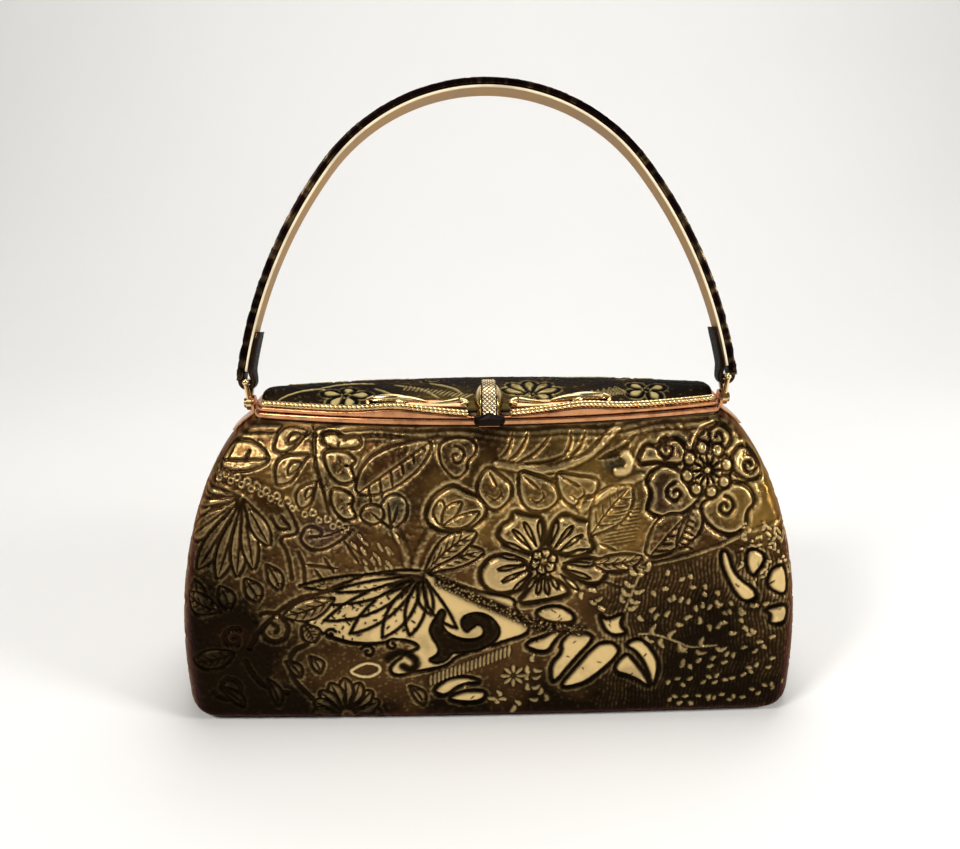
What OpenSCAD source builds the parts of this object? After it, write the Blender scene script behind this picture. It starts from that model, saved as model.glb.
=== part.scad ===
// Small frame handbag: a stiff body covered in tooled leather, a domed leather lid hinged at the back,
// a lever clasp on the lid's front edge and a rigid arched strap handle on two swinging links.
// Millimetres. The origin is the middle of the base, +X to the right seen from the front, -Y the front
// and +Z up.

/* [Body] */
// Widest width of the body over the leather
body_w = 264; // [220:1:300]
// Depth of the body at its middle, near the base
body_d = 84; // [74:1:100]
// Depth of the body at its ends, near the base
body_end_d = 80; // [70:1:96]
// Height of the face where the lid meets the mouth frame
mouth_z = 127; // [110:1:150]
// Radius of the rounded bottom edge
base_edge_r = 7; // [5:0.5:10]
// Length of the rounding at each end near the base
base_cap = 16; // [10:1:24]

/* [Walls] */
// Thickness of the tooled leather
leather_t = 1.8; // [1.4:0.1:2.4]
// Thickness of the stiff board shell
board_t = 1.6; // [1.2:0.1:2.2]
// Thickness of the cloth lining
lining_t = 0.8; // [0.6:0.1:1.2]
// Thickness of the leather base panel
base_t = 2; // [1.5:0.1:3]
// Gap left between two layers
layer_gap = 0.3; // [0.2:0.05:0.5]

/* [Mouth frame] */
// Length of the mouth frame
mouth_l = 190; // [170:1:210]
// Depth of the mouth frame at its middle
mouth_d = 44; // [42:1:56]
// Depth of the mouth frame at its ends
mouth_end_d = 20; // [12:0.5:24]
// Length of the rounding at each end of the frame
mouth_cap = 4; // [3:0.5:6]
// Height of the rail that shows
rail_h = 2.5; // [2:0.1:4]
// Width of the rail, over the raw edges of the walls
rail_w = 6; // [5.6:0.1:7]
// Depth of the lip that covers the edge of the lining
lip_h = 4; // [2:0.5:6]
// Thickness of that lip
lip_t = 0.9; // [0.6:0.1:1.2]

/* [Lid] */
// Distance of the lid's ends from the ends of the mouth frame
lid_short = 4; // [3.5:0.5:10]
// Height of the rim away from its crests
lid_rim_h = 1.9; // [1.6:0.1:2.4]
// Rise of the crest in the rim's front, on each side of the clasp
crest_h = 1.6; // [0:0.1:2]
// Distance of that crest from the middle
crest_x = 37; // [32:1:44]
// Length of the crest's slopes
crest_l = 12; // [8:1:16]
// Fall of the rim's front towards the clasp
rim_fall = 1.2; // [0:0.1:1.3]
// Width of the rim
lid_rim_w = 2.2; // [1.6:0.1:3]
// Thickness of the board under the leather
lid_board_t = 1.4; // [1:0.1:1.6]
// Thickness of the cloth panel under the board
lid_lining_t = 0.9; // [0.6:0.1:1.2]
// Height of the leather dome over the rim
lid_rise = 4.6; // [3:0.1:7]
// Gap between the closed lid and the mouth frame
lid_gap = 0.3; // [0.2:0.05:0.6]
// Radius of the rope bead on the front edge
rope_r = 1.25; // [1.1:0.05:1.5]
// Length of rope that one strand takes for a full turn
rope_pitch = 5.4; // [4:0.1:8]

/* [Hinge] */
// Radius of the knuckles
knuckle_r = 1.7; // [1.4:0.05:2.2]
// Radius of the hinge pin
hinge_pin_r = 0.8; // [0.6:0.05:1]
// Length of the whole hinge
hinge_l = 24; // [18:1:36]

/* [Clasp] */
// Radius of the barrel shaped housing about its pin
housing_r = 9.8; // [9:0.1:10.5]
// Width of the housing
housing_w = 12.4; // [11:0.1:14]
// Distance of the clasp pin behind the front of the mouth frame
clasp_setback = 8.8; // [8.4:0.1:9.4]
// Radius of the clasp pin
clasp_pin_r = 0.9; // [0.7:0.05:1]
// Width of the milled lever
lever_w = 5.4; // [4.5:0.1:6]
// Height of the milling over the housing
lever_proud = 0.9; // [0.5:0.1:1.2]
// Number of teeth in the milling
lever_teeth = 36; // [24:1:48]
// Height of the faceted nose
nose_h = 5.2; // [4:0.1:6]
// Depth of the faceted nose
nose_d = 3.4; // [2.5:0.1:4]

/* [Handle] */
// Height of the handle's crown over the link pins
handle_h = 127; // [110:1:145]
// Radius of the crown
crown_r = 79; // [75:0.5:84]
// Angle over which the crown keeps that radius, each side
crown_angle = 52.5; // [46:0.5:58]
// Angle by which the handle leans back
handle_lean = 15; // [5:1:20]
// Width of the strap at the crown
strap_w = 15; // [12:0.5:18]
// Width of the strap at its feet
strap_foot_w = 9.5; // [8:0.5:10.5]
// Thickness of the padded outer leather
strap_t = 3; // [2.4:0.1:3.6]
// Thickness of the folded end of that leather
strap_tab_t = 1.5; // [1:0.1:1.8]
// Length of the folded end
strap_tab_l = 19; // [10:0.5:20]
// Thickness of the pale inner band
band_t = 1; // [0.8:0.1:1.2]
// Radius of the link's wire
link_wire_r = 1.2; // [1:0.05:1.3]
// Height of the link's bar over the link pin
link_h = 9; // [8:0.5:12]
// Distance between the legs of a link, at the bar
link_w = 13; // [12.5:0.5:15]
// Radius of the link pins
link_pin_r = 1; // [0.8:0.05:1.2]

/* [Tooling] */
// Height of the tooled relief on the leather
relief_h = 0.8; // [0.5:0.1:1.2]

/* [Hidden] */
$fn = 48;

// Fits: a pin fixed in its hole, a pin that turns in its hole, and two flat faces that meet
fixed_fit = 0.02;
running_fit = 0.06;
face_fit = 0.05;
// Side gap between pieces that turn past each other
side_gap = 0.3;
// Clear of everything, for cuts
past = 1;
// Chamfer on the edges of the metal rails
rail_edge = 0.4;

leather_color = "#5a4a2a";
gold_color = "#c9a45c";
rose_color = "#c98f6b";

rail_z = mouth_z - rail_h;
leather_top = rail_z - layer_gap;
board_in = leather_t + layer_gap;
lining_in = board_in + board_t + layer_gap;
lid_l = mouth_l - 2 * lid_short;
lid_z = mouth_z + lid_gap;
lid_top_z = lid_z + lid_rim_h;
lid_end_d = mouth_end_d - 1;
lid_cap = mouth_cap + 1;
lid_board_z = lid_z + face_fit * 4;
dome_low = lid_board_z + lid_board_t + face_fit * 2;
// Least upright edge of the leather before it starts to dome
dome_edge = 0.6;
dome_z = max(lid_top_z, dome_low) + dome_edge;
level_shares = [0.24, 0.45, 0.66, 0.83, 0.935, 1];
wall_levels = concat([base_edge_r], [for (share = level_shares) share * leather_top]);

// Straight and rounded steps along an outline of the soft walls, and along one of the metal rails
wall_steps = [10, 3];
rail_steps = [28, 6];

function share(z) = z / leather_top;
function half_w(z) = body_w / 2
    - (body_w - mouth_l) / 2 * (0.8 * pow(share(z), 2.6) + 0.2 * pow(share(z), 15));
function half_d(z) = body_d / 2
    - (body_d - mouth_d) / 2 * (0.75 * pow(share(z), 2) + 0.25 * pow(share(z), 12));
function end_half_d(z) = body_end_d / 2
    - (body_end_d - mouth_end_d) / 2 * (0.7 * pow(share(z), 2.2) + 0.3 * pow(share(z), 10));
function cap(z) = base_cap + (mouth_cap - base_cap) * share(z);
function edge_inset(z) = z < base_edge_r
    ? base_edge_r - sqrt(pow(base_edge_r, 2) - pow(base_edge_r - z, 2)) : 0;

// Bowed half outline from the left end round the front to the right end: half length, depth at the middle,
// depth at the ends and length of the rounding
function bow(x, a, b, e) = e + (b - e) * (1 - pow(x / a, 2));
function front_outline(a, b, e, c, steps = wall_steps) = let (mid = steps[0], round = steps[1]) concat(
    [for (i = [0 : round - 1]) let (f = 90 * (1 - i / round), x = -(a - c) - c * sin(f))
        [x, -bow(x, a, b, e) * cos(f)]],
    [for (i = [0 : mid]) let (x = (a - c) * (2 * i / mid - 1)) [x, -bow(x, a, b, e)]],
    [for (i = [1 : round]) let (f = 90 * i / round, x = a - c + c * sin(f))
        [x, -bow(x, a, b, e) * cos(f)]]
);
function whole_outline(a, b, e, c, steps = wall_steps) = let (
    front = front_outline(a, b, e, c, steps),
    n = len(front)
) concat(front, [for (i = [n - 2 : -1 : 1]) [front[i].x, -front[i].y]]);
least_end = 0.6;
function wall_sizes(z, inset) = let (i = edge_inset(z) + inset)
    [half_w(z) - i, half_d(z) - i, max(least_end, end_half_d(z) - i), cap(z)];
function wall_ring(z, inset) = let (s = wall_sizes(z, inset))
    [for (p = whole_outline(s[0], s[1], s[2], s[3])) [p.x, p.y, z]];
function wall_front(z, inset) = let (s = wall_sizes(z, inset))
    [for (p = front_outline(s[0], s[1], s[2], s[3])) [p.x, p.y, z]];

// Closed skin over a row of loops that all have the same number of points. Each four sided face is split
// from its first corner, and past the turning loop from its second, so that two walls of a shell match
function split_face(a, b, c, d, turned) = turned ? [[a, b, d], [d, b, c]] : [[a, b, c], [a, c, d]];
module loft(loops, turning = undef) {
    n = len(loops[0]);
    last = (len(loops) - 1) * n;
    turn_at = is_undef(turning) ? len(loops) : turning;
    polyhedron(
        points = [for (loop = loops) each loop],
        faces = concat(
            [[for (i = [0 : n - 1]) i]],
            [for (j = [0 : len(loops) - 2], i = [0 : n - 1]) let (
                low = j * n,
                high = low + n,
                k = (i + 1) % n
            ) each split_face(low + i, high + i, high + k, low + k, j >= turn_at)],
            [[for (i = [n - 1 : -1 : 0]) last + i]]
        )
    );
}

// Open topped shell between two insets from the outside of the leather
module wall_shell(inset_out, inset_in, floor_z, floor_t) {
    outside = concat([floor_z], wall_levels);
    inside = concat([floor_z + floor_t], wall_levels);
    loft(concat(
        [for (z = outside) wall_ring(z, inset_out)],
        [for (i = [len(inside) - 1 : -1 : 0]) wall_ring(inside[i], inset_in)]
    ), len(outside));
}

// Half of the leather cover, end seam to end seam round the front
leather_low = layer_gap;
module leather_skin() {
    levels = concat([leather_low, base_edge_r / 3], wall_levels);
    inner = [for (z = levels) wall_front(z, leather_t)];
    outer = [for (i = [len(levels) - 1 : -1 : 0]) wall_front(levels[i], 0)];
    rows = concat(inner, outer);
    translate([0, -face_fit, 0])
        loft([for (i = [0 : len(inner[0]) - 1]) [for (row = rows) row[i]]]);
}

// Tooling. The pattern is drawn on a sheet of this width and height, and laid on the body's own size
sheet_w = 258;
sheet_h = 127;
relief_sink = 0.9;
// The tooling runs out under the frame
tooling_top = leather_top - 1;
function on_front(p, h) = let (
    x = p.x * body_w / sheet_w,
    z = min(tooling_top, p.y * mouth_z / sheet_h)
) [x, -face_fit - h - bow(x, half_w(z), half_d(z), end_half_d(z)), z];

// Solid between all the points of a small relief
module relief(points) {
    n = len(points);
    hull()
        polyhedron(points, [for (i = [0 : n - 3]) [i, i + 1, i + 2]]);
}

function along(a, b, share, side) = let (d = b - a, q = [-d.y, d.x] / norm(d)) a + d * share + q * side;
// Leaf or petal from a to b with a bevelled edge, rounder in outline where it is broad
broad_leaf = 9;
module leaf(place, a, b, w, sink = relief_sink, h = relief_h) {
    half = w < broad_leaf ? [[0.3, 0.42], [0.75, 0.4]] : [[0.25, 0.38], [0.55, 0.5], [0.85, 0.28]];
    back = [for (i = [len(half) - 1 : -1 : 0]) [half[i].x, -half[i].y]];
    edge = concat([[0, 0]], half, [[1, 0]], back);
    top = [[0.1, 0], [0.5, 0.3], [0.93, 0], [0.5, -0.3]];
    relief(concat(
        [for (e = edge) place(along(a, b, e.x, e.y * w), -sink)],
        [for (e = top) place(along(a, b, e.x, e.y * w), h)]
    ));
}
// Thin raised line from a to b
module vein(place, a, b, w = 1.4, sink = relief_sink, h = relief_h * 0.7) {
    relief(concat(
        [for (e = [[0, 1], [1, 1], [1, -1], [0, -1]]) place(along(a, b, e.x, e.y * w / 2), -sink)],
        [for (r = [0, 1]) place(along(a, b, r, 0), h)]
    ));
}
// Round boss
module boss(place, at, r, h = relief_h) {
    relief(concat(
        [for (f = [0 : 60 : 300]) place(at + r * [cos(f), sin(f)], -relief_sink)],
        [for (f = [0 : 120 : 240]) place(at + 0.45 * r * [cos(f), sin(f)], h)]
    ));
}
// Leaves that spread from one hub
module fan(place, hub, tips, w, gap = 3) {
    for (tip = tips)
        leaf(place, hub + (tip - hub) * gap / norm(tip - hub), tip, w);
}
// Ring of petals with a boss at its centre
module flower(place, at, n, r_in, r_out, w, turn = 0) {
    for (i = [0 : n - 1]) let (f = turn + 360 * i / n, d = [cos(f), sin(f)])
        leaf(place, at + r_in * d, at + r_out * d, w);
    boss(place, at, r_in * 0.85);
}
// Heart shaped bud of two lobes that meet at its point
module heart(place, tip, turn, size) {
    for (side = [-1, 1]) let (f = turn + side * 17)
        leaf(place, tip, tip + size * [cos(f), sin(f)], size * 0.5);
}
// Stem with pairs of leaves
module spray(place, a, b, pairs, size, w, from = 0.15) {
    stem(place, [for (i = [0 : pairs]) along(a, b, i / pairs, 0)]);
    turn = atan2(b.y - a.y, b.x - a.x);
    for (i = [0 : pairs - 1], side = [-1, 1]) let (
        root = along(a, b, from + (1 - from) * i / pairs, side),
        f = turn + side * 42
    )
        leaf(place, root, root + size * [cos(f), sin(f)], w);
}
// Rolled up scroll
module scroll(place, at, r, turn, way, w = 2) {
    steps = 9;
    sweep = 40;
    function point(i) = at + r * (1 - 0.07 * i) * [cos(turn + way * sweep * i), sin(turn + way * sweep * i)];
    for (i = [0 : steps - 1])
        vein(place, point(i), point(i + 1), w);
    boss(place, at, r * 0.3);
}
// Chain of short lines through a row of points
module stem(place, row) {
    for (i = [0 : len(row) - 2])
        vein(place, row[i], row[i + 1]);
}

module front_pattern(place) {
    // Broad split leaf at the left of the middle, with the leaf pair over it
    fan(place, [-26, 67], [
        [-72, 63], [-70, 55], [-65, 47], [-56, 41], [-44, 39], [-32, 43], [-23, 50], [-12, 45]
    ], 7);
    fan(place, [-26, 67], [[0, 78], [-4, 68]], 6);
    // Leaf fan at the left end, with a leaf and a chain of beads over it
    fan(place, [-96, 96], [[-112, 92], [-112, 82], [-108, 72], [-99, 67], [-90, 69], [-82, 76]], 6);
    leaf(place, [-108, 110], [-87, 117], 9);
    for (i = [0 : 4])
        boss(place, [-101, 106] + i * [7, -3.8], 1.8);
    // Sprig that hangs from the frame, and the scroll at its foot
    spray(place, [-67, 120], [-65, 92], 3, 13, 6);
    scroll(place, [-66, 80], 8, 60, -1);
    // Long striped leaf, heart flower, bud and trefoil
    leaf(place, [-51, 100], [-23, 118], 9);
    heart(place, [-15, 109], 90, 10);
    heart(place, [-14, 89], 70, 11);
    stem(place, [[-14, 89], [-20, 80], [-33, 71]]);
    fan(place, [-38, 87], [[-48, 92], [-41, 98], [-32, 96]], 7, 1);
    stem(place, [[-38, 87], [-38, 80], [-34, 73]]);
    // Fern over the middle and three drops under it
    spray(place, [18, 106], [44, 117], 4, 10, 4.5);
    for (drop = [[1, 98], [19, 95], [34, 98]])
        heart(place, drop, 90, 10);
    // Five petalled flower with its leaves
    flower(place, [22, 70], 5, 5, 20, 16, 54);
    leaf(place, [38, 91], [58, 105], 10);
    leaf(place, [44, 80], [57, 77], 7);
    // Round flower with curled petals at the right end
    flower(place, [87, 107], 7, 8, 17, 10, 18);
    leaf(place, [72, 80], [90, 90], 7);
    leaf(place, [60, 78], [76, 90], 6);
    stem(place, [[62, 72], [79, 75], [97, 82]]);
    // Scroll work and leaves under the middle
    scroll(place, [-12, 42], 6, 200, 1);
    scroll(place, [7, 37], 8, 20, 1);
    leaf(place, [-24, 10], [1, 16], 8);
    leaf(place, [15, 46], [38, 51], 7);
    leaf(place, [14, 40], [34, 33], 7);
    flower(place, [8, 22], 8, 2.6, 8, 3.6);
    // Large split petals with a crown over them
    leaf(place, [50, 41], [34, 14], 13);
    leaf(place, [53, 40], [70, 15], 12);
    fan(place, [51, 41], [[44, 46], [51, 50], [58, 46]], 5, 1);
    // Sprays and flat leaves on the dark ground at the right
    spray(place, [64, 38], [82, 30], 3, 8, 3.5);
    spray(place, [68, 64], [96, 50], 4, 8, 3.5);
    leaf(place, [95, 70], [104, 52], 9);
    leaf(place, [104, 66], [113, 60], 6);
    leaf(place, [107, 48], [115, 38], 7);
    // Low cluster at the left
    fan(place, [-62, 8], [[-86, 15], [-79, 24], [-66, 30], [-52, 27], [-42, 16]], 7);
    scroll(place, [-34, 22], 6, 120, -1);
    leaf(place, [-112, 30], [-92, 38], 8);
}

module back_pattern(place) {
    flower(place, [0, 66], 5, 6, 25, 20, 54);
    for (side = [-1, 1]) {
        fan(place, [side * 36, 60], [
            [side * 82, 74], [side * 84, 62], [side * 80, 50], [side * 68, 42], [side * 52, 40]
        ], 8);
        spray(place, [side * 58, 121], [side * 54, 92], 2, 14, 7);
        flower(place, [side * 90, 98], 6, 5, 15, 10);
        fan(place, [side * 30, 10], [[side * 8, 20], [side * 26, 32], [side * 48, 24]], 8);
    }
}

module front_leather() {
    color(leather_color) {
        leather_skin();
        front_pattern(function(p, h) on_front(p, h));
    }
}

module back_leather() {
    color(leather_color)
        rotate([0, 0, 180]) {
            leather_skin();
            back_pattern(function(p, h) on_front(p, h));
        }
}

module base_leather() {
    color("#2a2018")
        loft([for (z = [0, base_t]) wall_ring(z, board_in)]);
}

module body_board() {
    color("#8a7a60")
        wall_shell(board_in, board_in + board_t, base_t + layer_gap, board_t);
}

module lining() {
    color("#3a2c24")
        wall_shell(lining_in, lining_in + lining_t, base_t + board_t + 2 * layer_gap, lining_t);
}

// Mouth frame: a bowed ring over the raw edges of the walls, with a lip inside it
module mouth_area(inset) {
    end_d = max(least_end, mouth_end_d / 2 - inset);
    polygon(whole_outline(mouth_l / 2 - inset, mouth_d / 2 - inset, end_d, mouth_cap, rail_steps));
}
module mouth_ring(z, h, inset_out, inset_in) {
    translate([0, 0, z])
        linear_extrude(h)
            difference() {
                mouth_area(inset_out);
                mouth_area(inset_in);
            }
}
module mouth_frame() {
    color(rose_color) {
        mouth_ring(rail_z, rail_edge, rail_edge, rail_w);
        mouth_ring(rail_z + rail_edge, rail_h - 2 * rail_edge, 0, rail_w);
        mouth_ring(mouth_z - rail_edge, rail_edge, rail_edge, rail_w);
        mouth_ring(rail_z - lip_h, lip_h, rail_w - lip_t, rail_w);
    }
}

// End plates: the ears at the ends of the frame that carry the handle's links
pivot_rise = 0.5;
pivot_z = mouth_z + pivot_rise;
plate_t = 1;
plate_w = 8;
plate_r = 3.2;
arm_h = 7;
plate_x = mouth_l / 2 + face_fit;
eye_t = 2;
link_x = plate_x + plate_t + side_gap + eye_t / 2;
module on_side(side) {
    mirror([side < 0 ? 1 : 0, 0, 0])
        children();
}
module along_x(x, y, z, h, r) {
    translate([x, y, z])
        rotate([0, 90, 0])
            cylinder(h = h, r = r);
}
module end_plate(side) {
    arm_steps = 4;
    arm_inner = [for (i = [0 : arm_steps]) let (z = leather_top - arm_h * i / arm_steps)
        [half_w(z) + layer_gap, z]];
    arm_outer = [for (i = [arm_steps : -1 : 0]) arm_inner[i] + [plate_t, 0]];
    color(rose_color)
        on_side(side)
            difference() {
                union() {
                    along_x(plate_x, 0, pivot_z, plate_t, plate_r);
                    translate([plate_x, -plate_w / 2, rail_z])
                        cube([plate_t, plate_w, pivot_z - rail_z]);
                    translate([0, plate_w / 2, 0])
                        rotate([90, 0, 0])
                            linear_extrude(plate_w)
                                polygon(concat(
                                    [[plate_x, rail_z + rail_edge]],
                                    arm_inner,
                                    arm_outer,
                                    [[plate_x + plate_t, rail_z + rail_edge]]
                                ));
                }
                along_x(plate_x - past, 0, pivot_z, plate_t + 2 * past, link_pin_r + fixed_fit);
            }
}
module end_plate_left() { end_plate(-1); }
module end_plate_right() { end_plate(1); }

// Rivet that each link turns on
pin_head_r = 2;
pin_head_t = 0.8;
module link_pin(side) {
    shank = plate_t + eye_t + 2 * side_gap;
    color(gold_color)
        on_side(side) {
            along_x(plate_x, 0, pivot_z, shank, link_pin_r);
            along_x(plate_x + shank, 0, pivot_z, pin_head_t, pin_head_r);
        }
}
module link_pin_left() { link_pin(-1); }
module link_pin_right() { link_pin(1); }

// Ledge on the front rail that the nose of the clasp closes over
catch_w = 8;
catch_d = 1.4;
catch_h = 1.4;
module clasp_catch() {
    color(rose_color)
        translate([-catch_w / 2, -mouth_d / 2 - face_fit - catch_d, rail_z + rail_edge / 2])
            cube([catch_w, catch_d, catch_h]);
}

// Hinge behind the middle of the frame
hinge_stand = 0.5;
hinge_y = mouth_d / 2 + knuckle_r + hinge_stand;
hinge_z = mouth_z + lid_gap / 2;
lid_knuckle_l = hinge_l * 0.4;
side_knuckle_l = (hinge_l - lid_knuckle_l) / 2 - side_gap;
leaf_y = mouth_d / 2 + face_fit;
module hinge_leaf_body() {
    color(rose_color)
        difference() {
            union() {
                for (side = [-1, 1])
                    on_side(side)
                        translate([hinge_l / 2 - side_knuckle_l, 0, 0]) {
                            along_x(0, hinge_y, hinge_z, side_knuckle_l, knuckle_r);
                            translate([0, leaf_y, rail_z + face_fit])
                                cube([side_knuckle_l, hinge_y - leaf_y, hinge_z - knuckle_r * 0.4 - rail_z]);
                        }
                translate([-hinge_l / 2, leaf_y, rail_z + face_fit])
                    cube([hinge_l, 1, hinge_z - knuckle_r - side_gap - rail_z]);
            }
            along_x(-hinge_l / 2 - past, hinge_y, hinge_z, hinge_l + 2 * past, hinge_pin_r + fixed_fit);
        }
}
module hinge_leaf_lid() {
    leaf_z = lid_z + lid_gap * 2;
    color(rose_color)
        difference() {
            union() {
                along_x(-lid_knuckle_l / 2, hinge_y, hinge_z, lid_knuckle_l, knuckle_r);
                translate([-lid_knuckle_l / 2, leaf_y, leaf_z])
                    cube([lid_knuckle_l, hinge_y - leaf_y, lid_top_z - leaf_z - rail_edge]);
            }
            along_x(-hinge_l / 2, hinge_y, hinge_z, hinge_l, hinge_pin_r + running_fit);
        }
}
module hinge_pin() {
    color(gold_color)
        along_x(-hinge_l / 2 - face_fit, hinge_y, hinge_z, hinge_l + 2 * face_fit, hinge_pin_r);
}

// Clasp: a barrel housing about a pin across the lid's front, a milled lever in it and a nose in front
clasp_y = -mouth_d / 2 + clasp_setback;
clasp_rise = 2.1;
clasp_z = lid_z + clasp_rise;
lever_r = housing_r + lever_proud;
slot_w = lever_w + 2 * side_gap;
lever_hub_r = 2.2;
lever_back = 50;
lever_front = 186;
lever_travel = 20;
// Room behind the lever at its furthest, and the front end of the slot, as angles
slot_back = 6;
slot_front = 200;
tooth_h = 0.35;
module barrel(grow) {
    r = housing_r + grow;
    half = housing_w / 2 + grow;
    steps = 16;
    translate([0, clasp_y, clasp_z])
        rotate([0, 90, 0])
            rotate_extrude()
                polygon([for (i = [0 : steps]) let (f = 180 * i / steps) [r * sin(f), -half * cos(f)]]);
}
// Area between two angles in the plane across the clasp's pin, 0 to the back and 90 up
module across_clasp(w) {
    translate([-w / 2, clasp_y, clasp_z])
        rotate([90, 0, 90])
            linear_extrude(w)
                children();
}
function arc_points(r, from, to, steps) = [for (i = [0 : steps]) let (f = from + (to - from) * i / steps)
    r * [cos(f), sin(f)]];
module clasp_housing() {
    color(gold_color)
        difference() {
            barrel(0);
            translate([-housing_w, clasp_y - 2 * housing_r, lid_z - 4 * housing_r])
                cube([2 * housing_w, 4 * housing_r, 4 * housing_r + lid_gap / 2]);
            across_clasp(slot_w)
                polygon(concat(
                    [[0, 0]],
                    arc_points(2 * housing_r, lever_back - lever_travel - slot_back, slot_front, 12),
                    [[-2 * housing_r, -2 * housing_r], [0, -2 * housing_r]]
                ));
            across_clasp(slot_w)
                circle(r = lever_hub_r + side_gap);
            along_x(-housing_w, clasp_y, clasp_z, 2 * housing_w, clasp_pin_r + fixed_fit);
        }
}
module clasp_lever() {
    tooth = (lever_front - lever_back) / lever_teeth;
    color(gold_color)
        difference() {
            across_clasp(lever_w)
                union() {
                    polygon(concat([[0, 0]],
                        [for (i = [0 : lever_teeth - 1]) let (f = lever_back + i * tooth) each [
                            (lever_r - tooth_h) * [cos(f), sin(f)],
                            lever_r * [cos(f + tooth / 2), sin(f + tooth / 2)]
                        ]],
                        [lever_r * [cos(lever_front), sin(lever_front)]]));
                    circle(r = lever_hub_r);
                }
            along_x(-lever_w, clasp_y, clasp_z, 2 * lever_w, clasp_pin_r + running_fit);
        }
}
module clasp_pin() {
    pin_l = housing_w - 2;
    color(gold_color)
        along_x(-pin_l / 2, clasp_y, clasp_z, pin_l, clasp_pin_r);
}
// Dark cut block with a pointed crown, on the front end of the lever
nose_w = housing_w - 0.4;
nose_drop = 1.5;
nose_cut = 1.2;
module clasp_nose() {
    y = clasp_y - lever_r - face_fit * 2;
    z = mouth_z - nose_drop;
    half_back = [[nose_w / 2 - nose_cut, 0], [nose_w / 2, nose_cut], [nose_w / 2, nose_h - nose_cut]];
    half_front = [[nose_w * 0.28, nose_h * 0.17], [nose_w * 0.34, nose_h * 0.62]];
    back = concat(half_back, [[0, nose_h]], [for (p = half_back) [-p.x, p.y]]);
    front = concat(half_front, [[0, nose_h * 0.74]], [for (p = half_front) [-p.x, p.y]]);
    color("#2b1d12")
        relief(concat(
            [for (p = back) [p.x, y, z + p.y]],
            [for (p = back) [p.x, y - nose_d / 3, z + p.y]],
            [for (p = front) [p.x, y - nose_d, z + p.y]]
        ));
}

// Lid
lid_fit = 0.3;
dome_in = lid_rim_w + lid_fit;
dome_a = lid_l / 2 - dome_in;
function lid_half(x, inset) = let (
    a = lid_l / 2 - inset,
    e = max(least_end, lid_end_d / 2 - inset),
    over = max(0, abs(x) - (a - lid_cap)) / lid_cap
) bow(x, a, mouth_d / 2 - inset, e) * sqrt(max(0, 1 - over * over));
// How squarely the dome drops at its ends
dome_square = 16;
function dome_rise(x) = lid_rise * sqrt(max(0, 1 - pow(x / dome_a, dome_square)));
function dome_height(x, y) = dome_z + dome_rise(x) * sqrt(max(0, 1 - pow(y / lid_half(x, dome_in), 2)));
module lid_area(inset) {
    end_d = max(least_end, lid_end_d / 2 - inset);
    polygon(whole_outline(lid_l / 2 - inset, mouth_d / 2 - inset, end_d, lid_cap, rail_steps));
}
module lid_plate(z, h, inset) {
    translate([0, 0, z])
        linear_extrude(h)
            lid_area(inset);
}
// Top of the rim's front: low beside the clasp, up over a crest, then level to the end
rim_start = housing_w / 2 + lid_fit;
function fall(x) = pow(max(0, 1 - (abs(x) - rim_start) / (crest_x / 2)), 1.5);
function rim_top(x) = lid_top_z - rim_fall * min(1, fall(x))
    + crest_h * exp(-pow((abs(x) - crest_x) / crest_l, 2));
module rim_front() {
    steps = 60;
    translate([0, -past, 0])
        rotate([90, 0, 0])
            linear_extrude(mouth_d)
                polygon(concat(
                    [[lid_l, lid_z - past], [-lid_l, lid_z - past], [-lid_l, lid_top_z]],
                    [for (i = [0 : steps]) let (x = lid_l / 2 * (2 * i / steps - 1)) [x, rim_top(x)]],
                    [[lid_l, lid_top_z]]
                ));
}
module rim_back() {
    translate([-lid_l, -past - face_fit, lid_z - past])
        cube([2 * lid_l, mouth_d, lid_rim_h + past]);
}
module lid_rim() {
    color(rose_color)
        difference() {
            intersection() {
                union() {
                    lid_plate(lid_z, rail_edge, rail_edge);
                    lid_plate(lid_z + rail_edge, lid_rim_h + crest_h, 0);
                }
                union() {
                    rim_front();
                    rim_back();
                }
            }
            lid_plate(lid_z - past, lid_rim_h + crest_h + 2 * past, lid_rim_w);
            barrel(lid_fit);
            across_clasp(slot_w)
                circle(r = lever_r + side_gap);
        }
}
module lid_board() {
    color("#8a7a60")
        difference() {
            lid_plate(lid_board_z, lid_board_t, lid_rim_w + face_fit * 2);
            barrel(lid_fit);
            across_clasp(slot_w)
                circle(r = lever_r + side_gap);
        }
}
// Cloth panel that drops a little way into the mouth
lid_lining_in = rail_w + 1.2;
module lid_lining() {
    color("#3a2c24")
        difference() {
            translate([0, 0, lid_board_z - face_fit - lid_lining_t])
                linear_extrude(lid_lining_t)
                    mouth_area(lid_lining_in);
            barrel(lid_fit);
            across_clasp(slot_w)
                circle(r = lever_r + side_gap);
        }
}
module dome() {
    stations = 16;
    arc_steps = 6;
    // The end loops stop just short of the points, where they would have no width
    end_share = 0.995;
    loft([for (i = [0 : stations]) let (
        x = end_share * dome_a * sin(180 * i / stations - 90),
        y = lid_half(x, dome_in)
    ) concat(
        [[x, -y, dome_low], [x, y, dome_low]],
        [for (k = [0 : arc_steps]) let (f = 180 * k / arc_steps)
            [x, y * cos(f), dome_z + dome_rise(x) * sin(f)]]
    )]);
}
sheet_lid_l = 182;
sheet_lid_d = 50;
function on_lid(p, h) = let (x = p.x * lid_l / sheet_lid_l, y = p.y * mouth_d / sheet_lid_d)
    [x, y, dome_height(x, y) + h];
module lid_pattern(place) {
    for (side = [-1, 1]) {
        flower(place, [side * 56, 0], 5, 3, 9, 7, 90);
        leaf(place, [side * 22, 8], [side * 42, 5], 6);
        leaf(place, [side * 20, -6], [side * 36, -5], 6);
    }
    flower(place, [0, 8], 8, 3, 10, 5);
}
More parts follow.
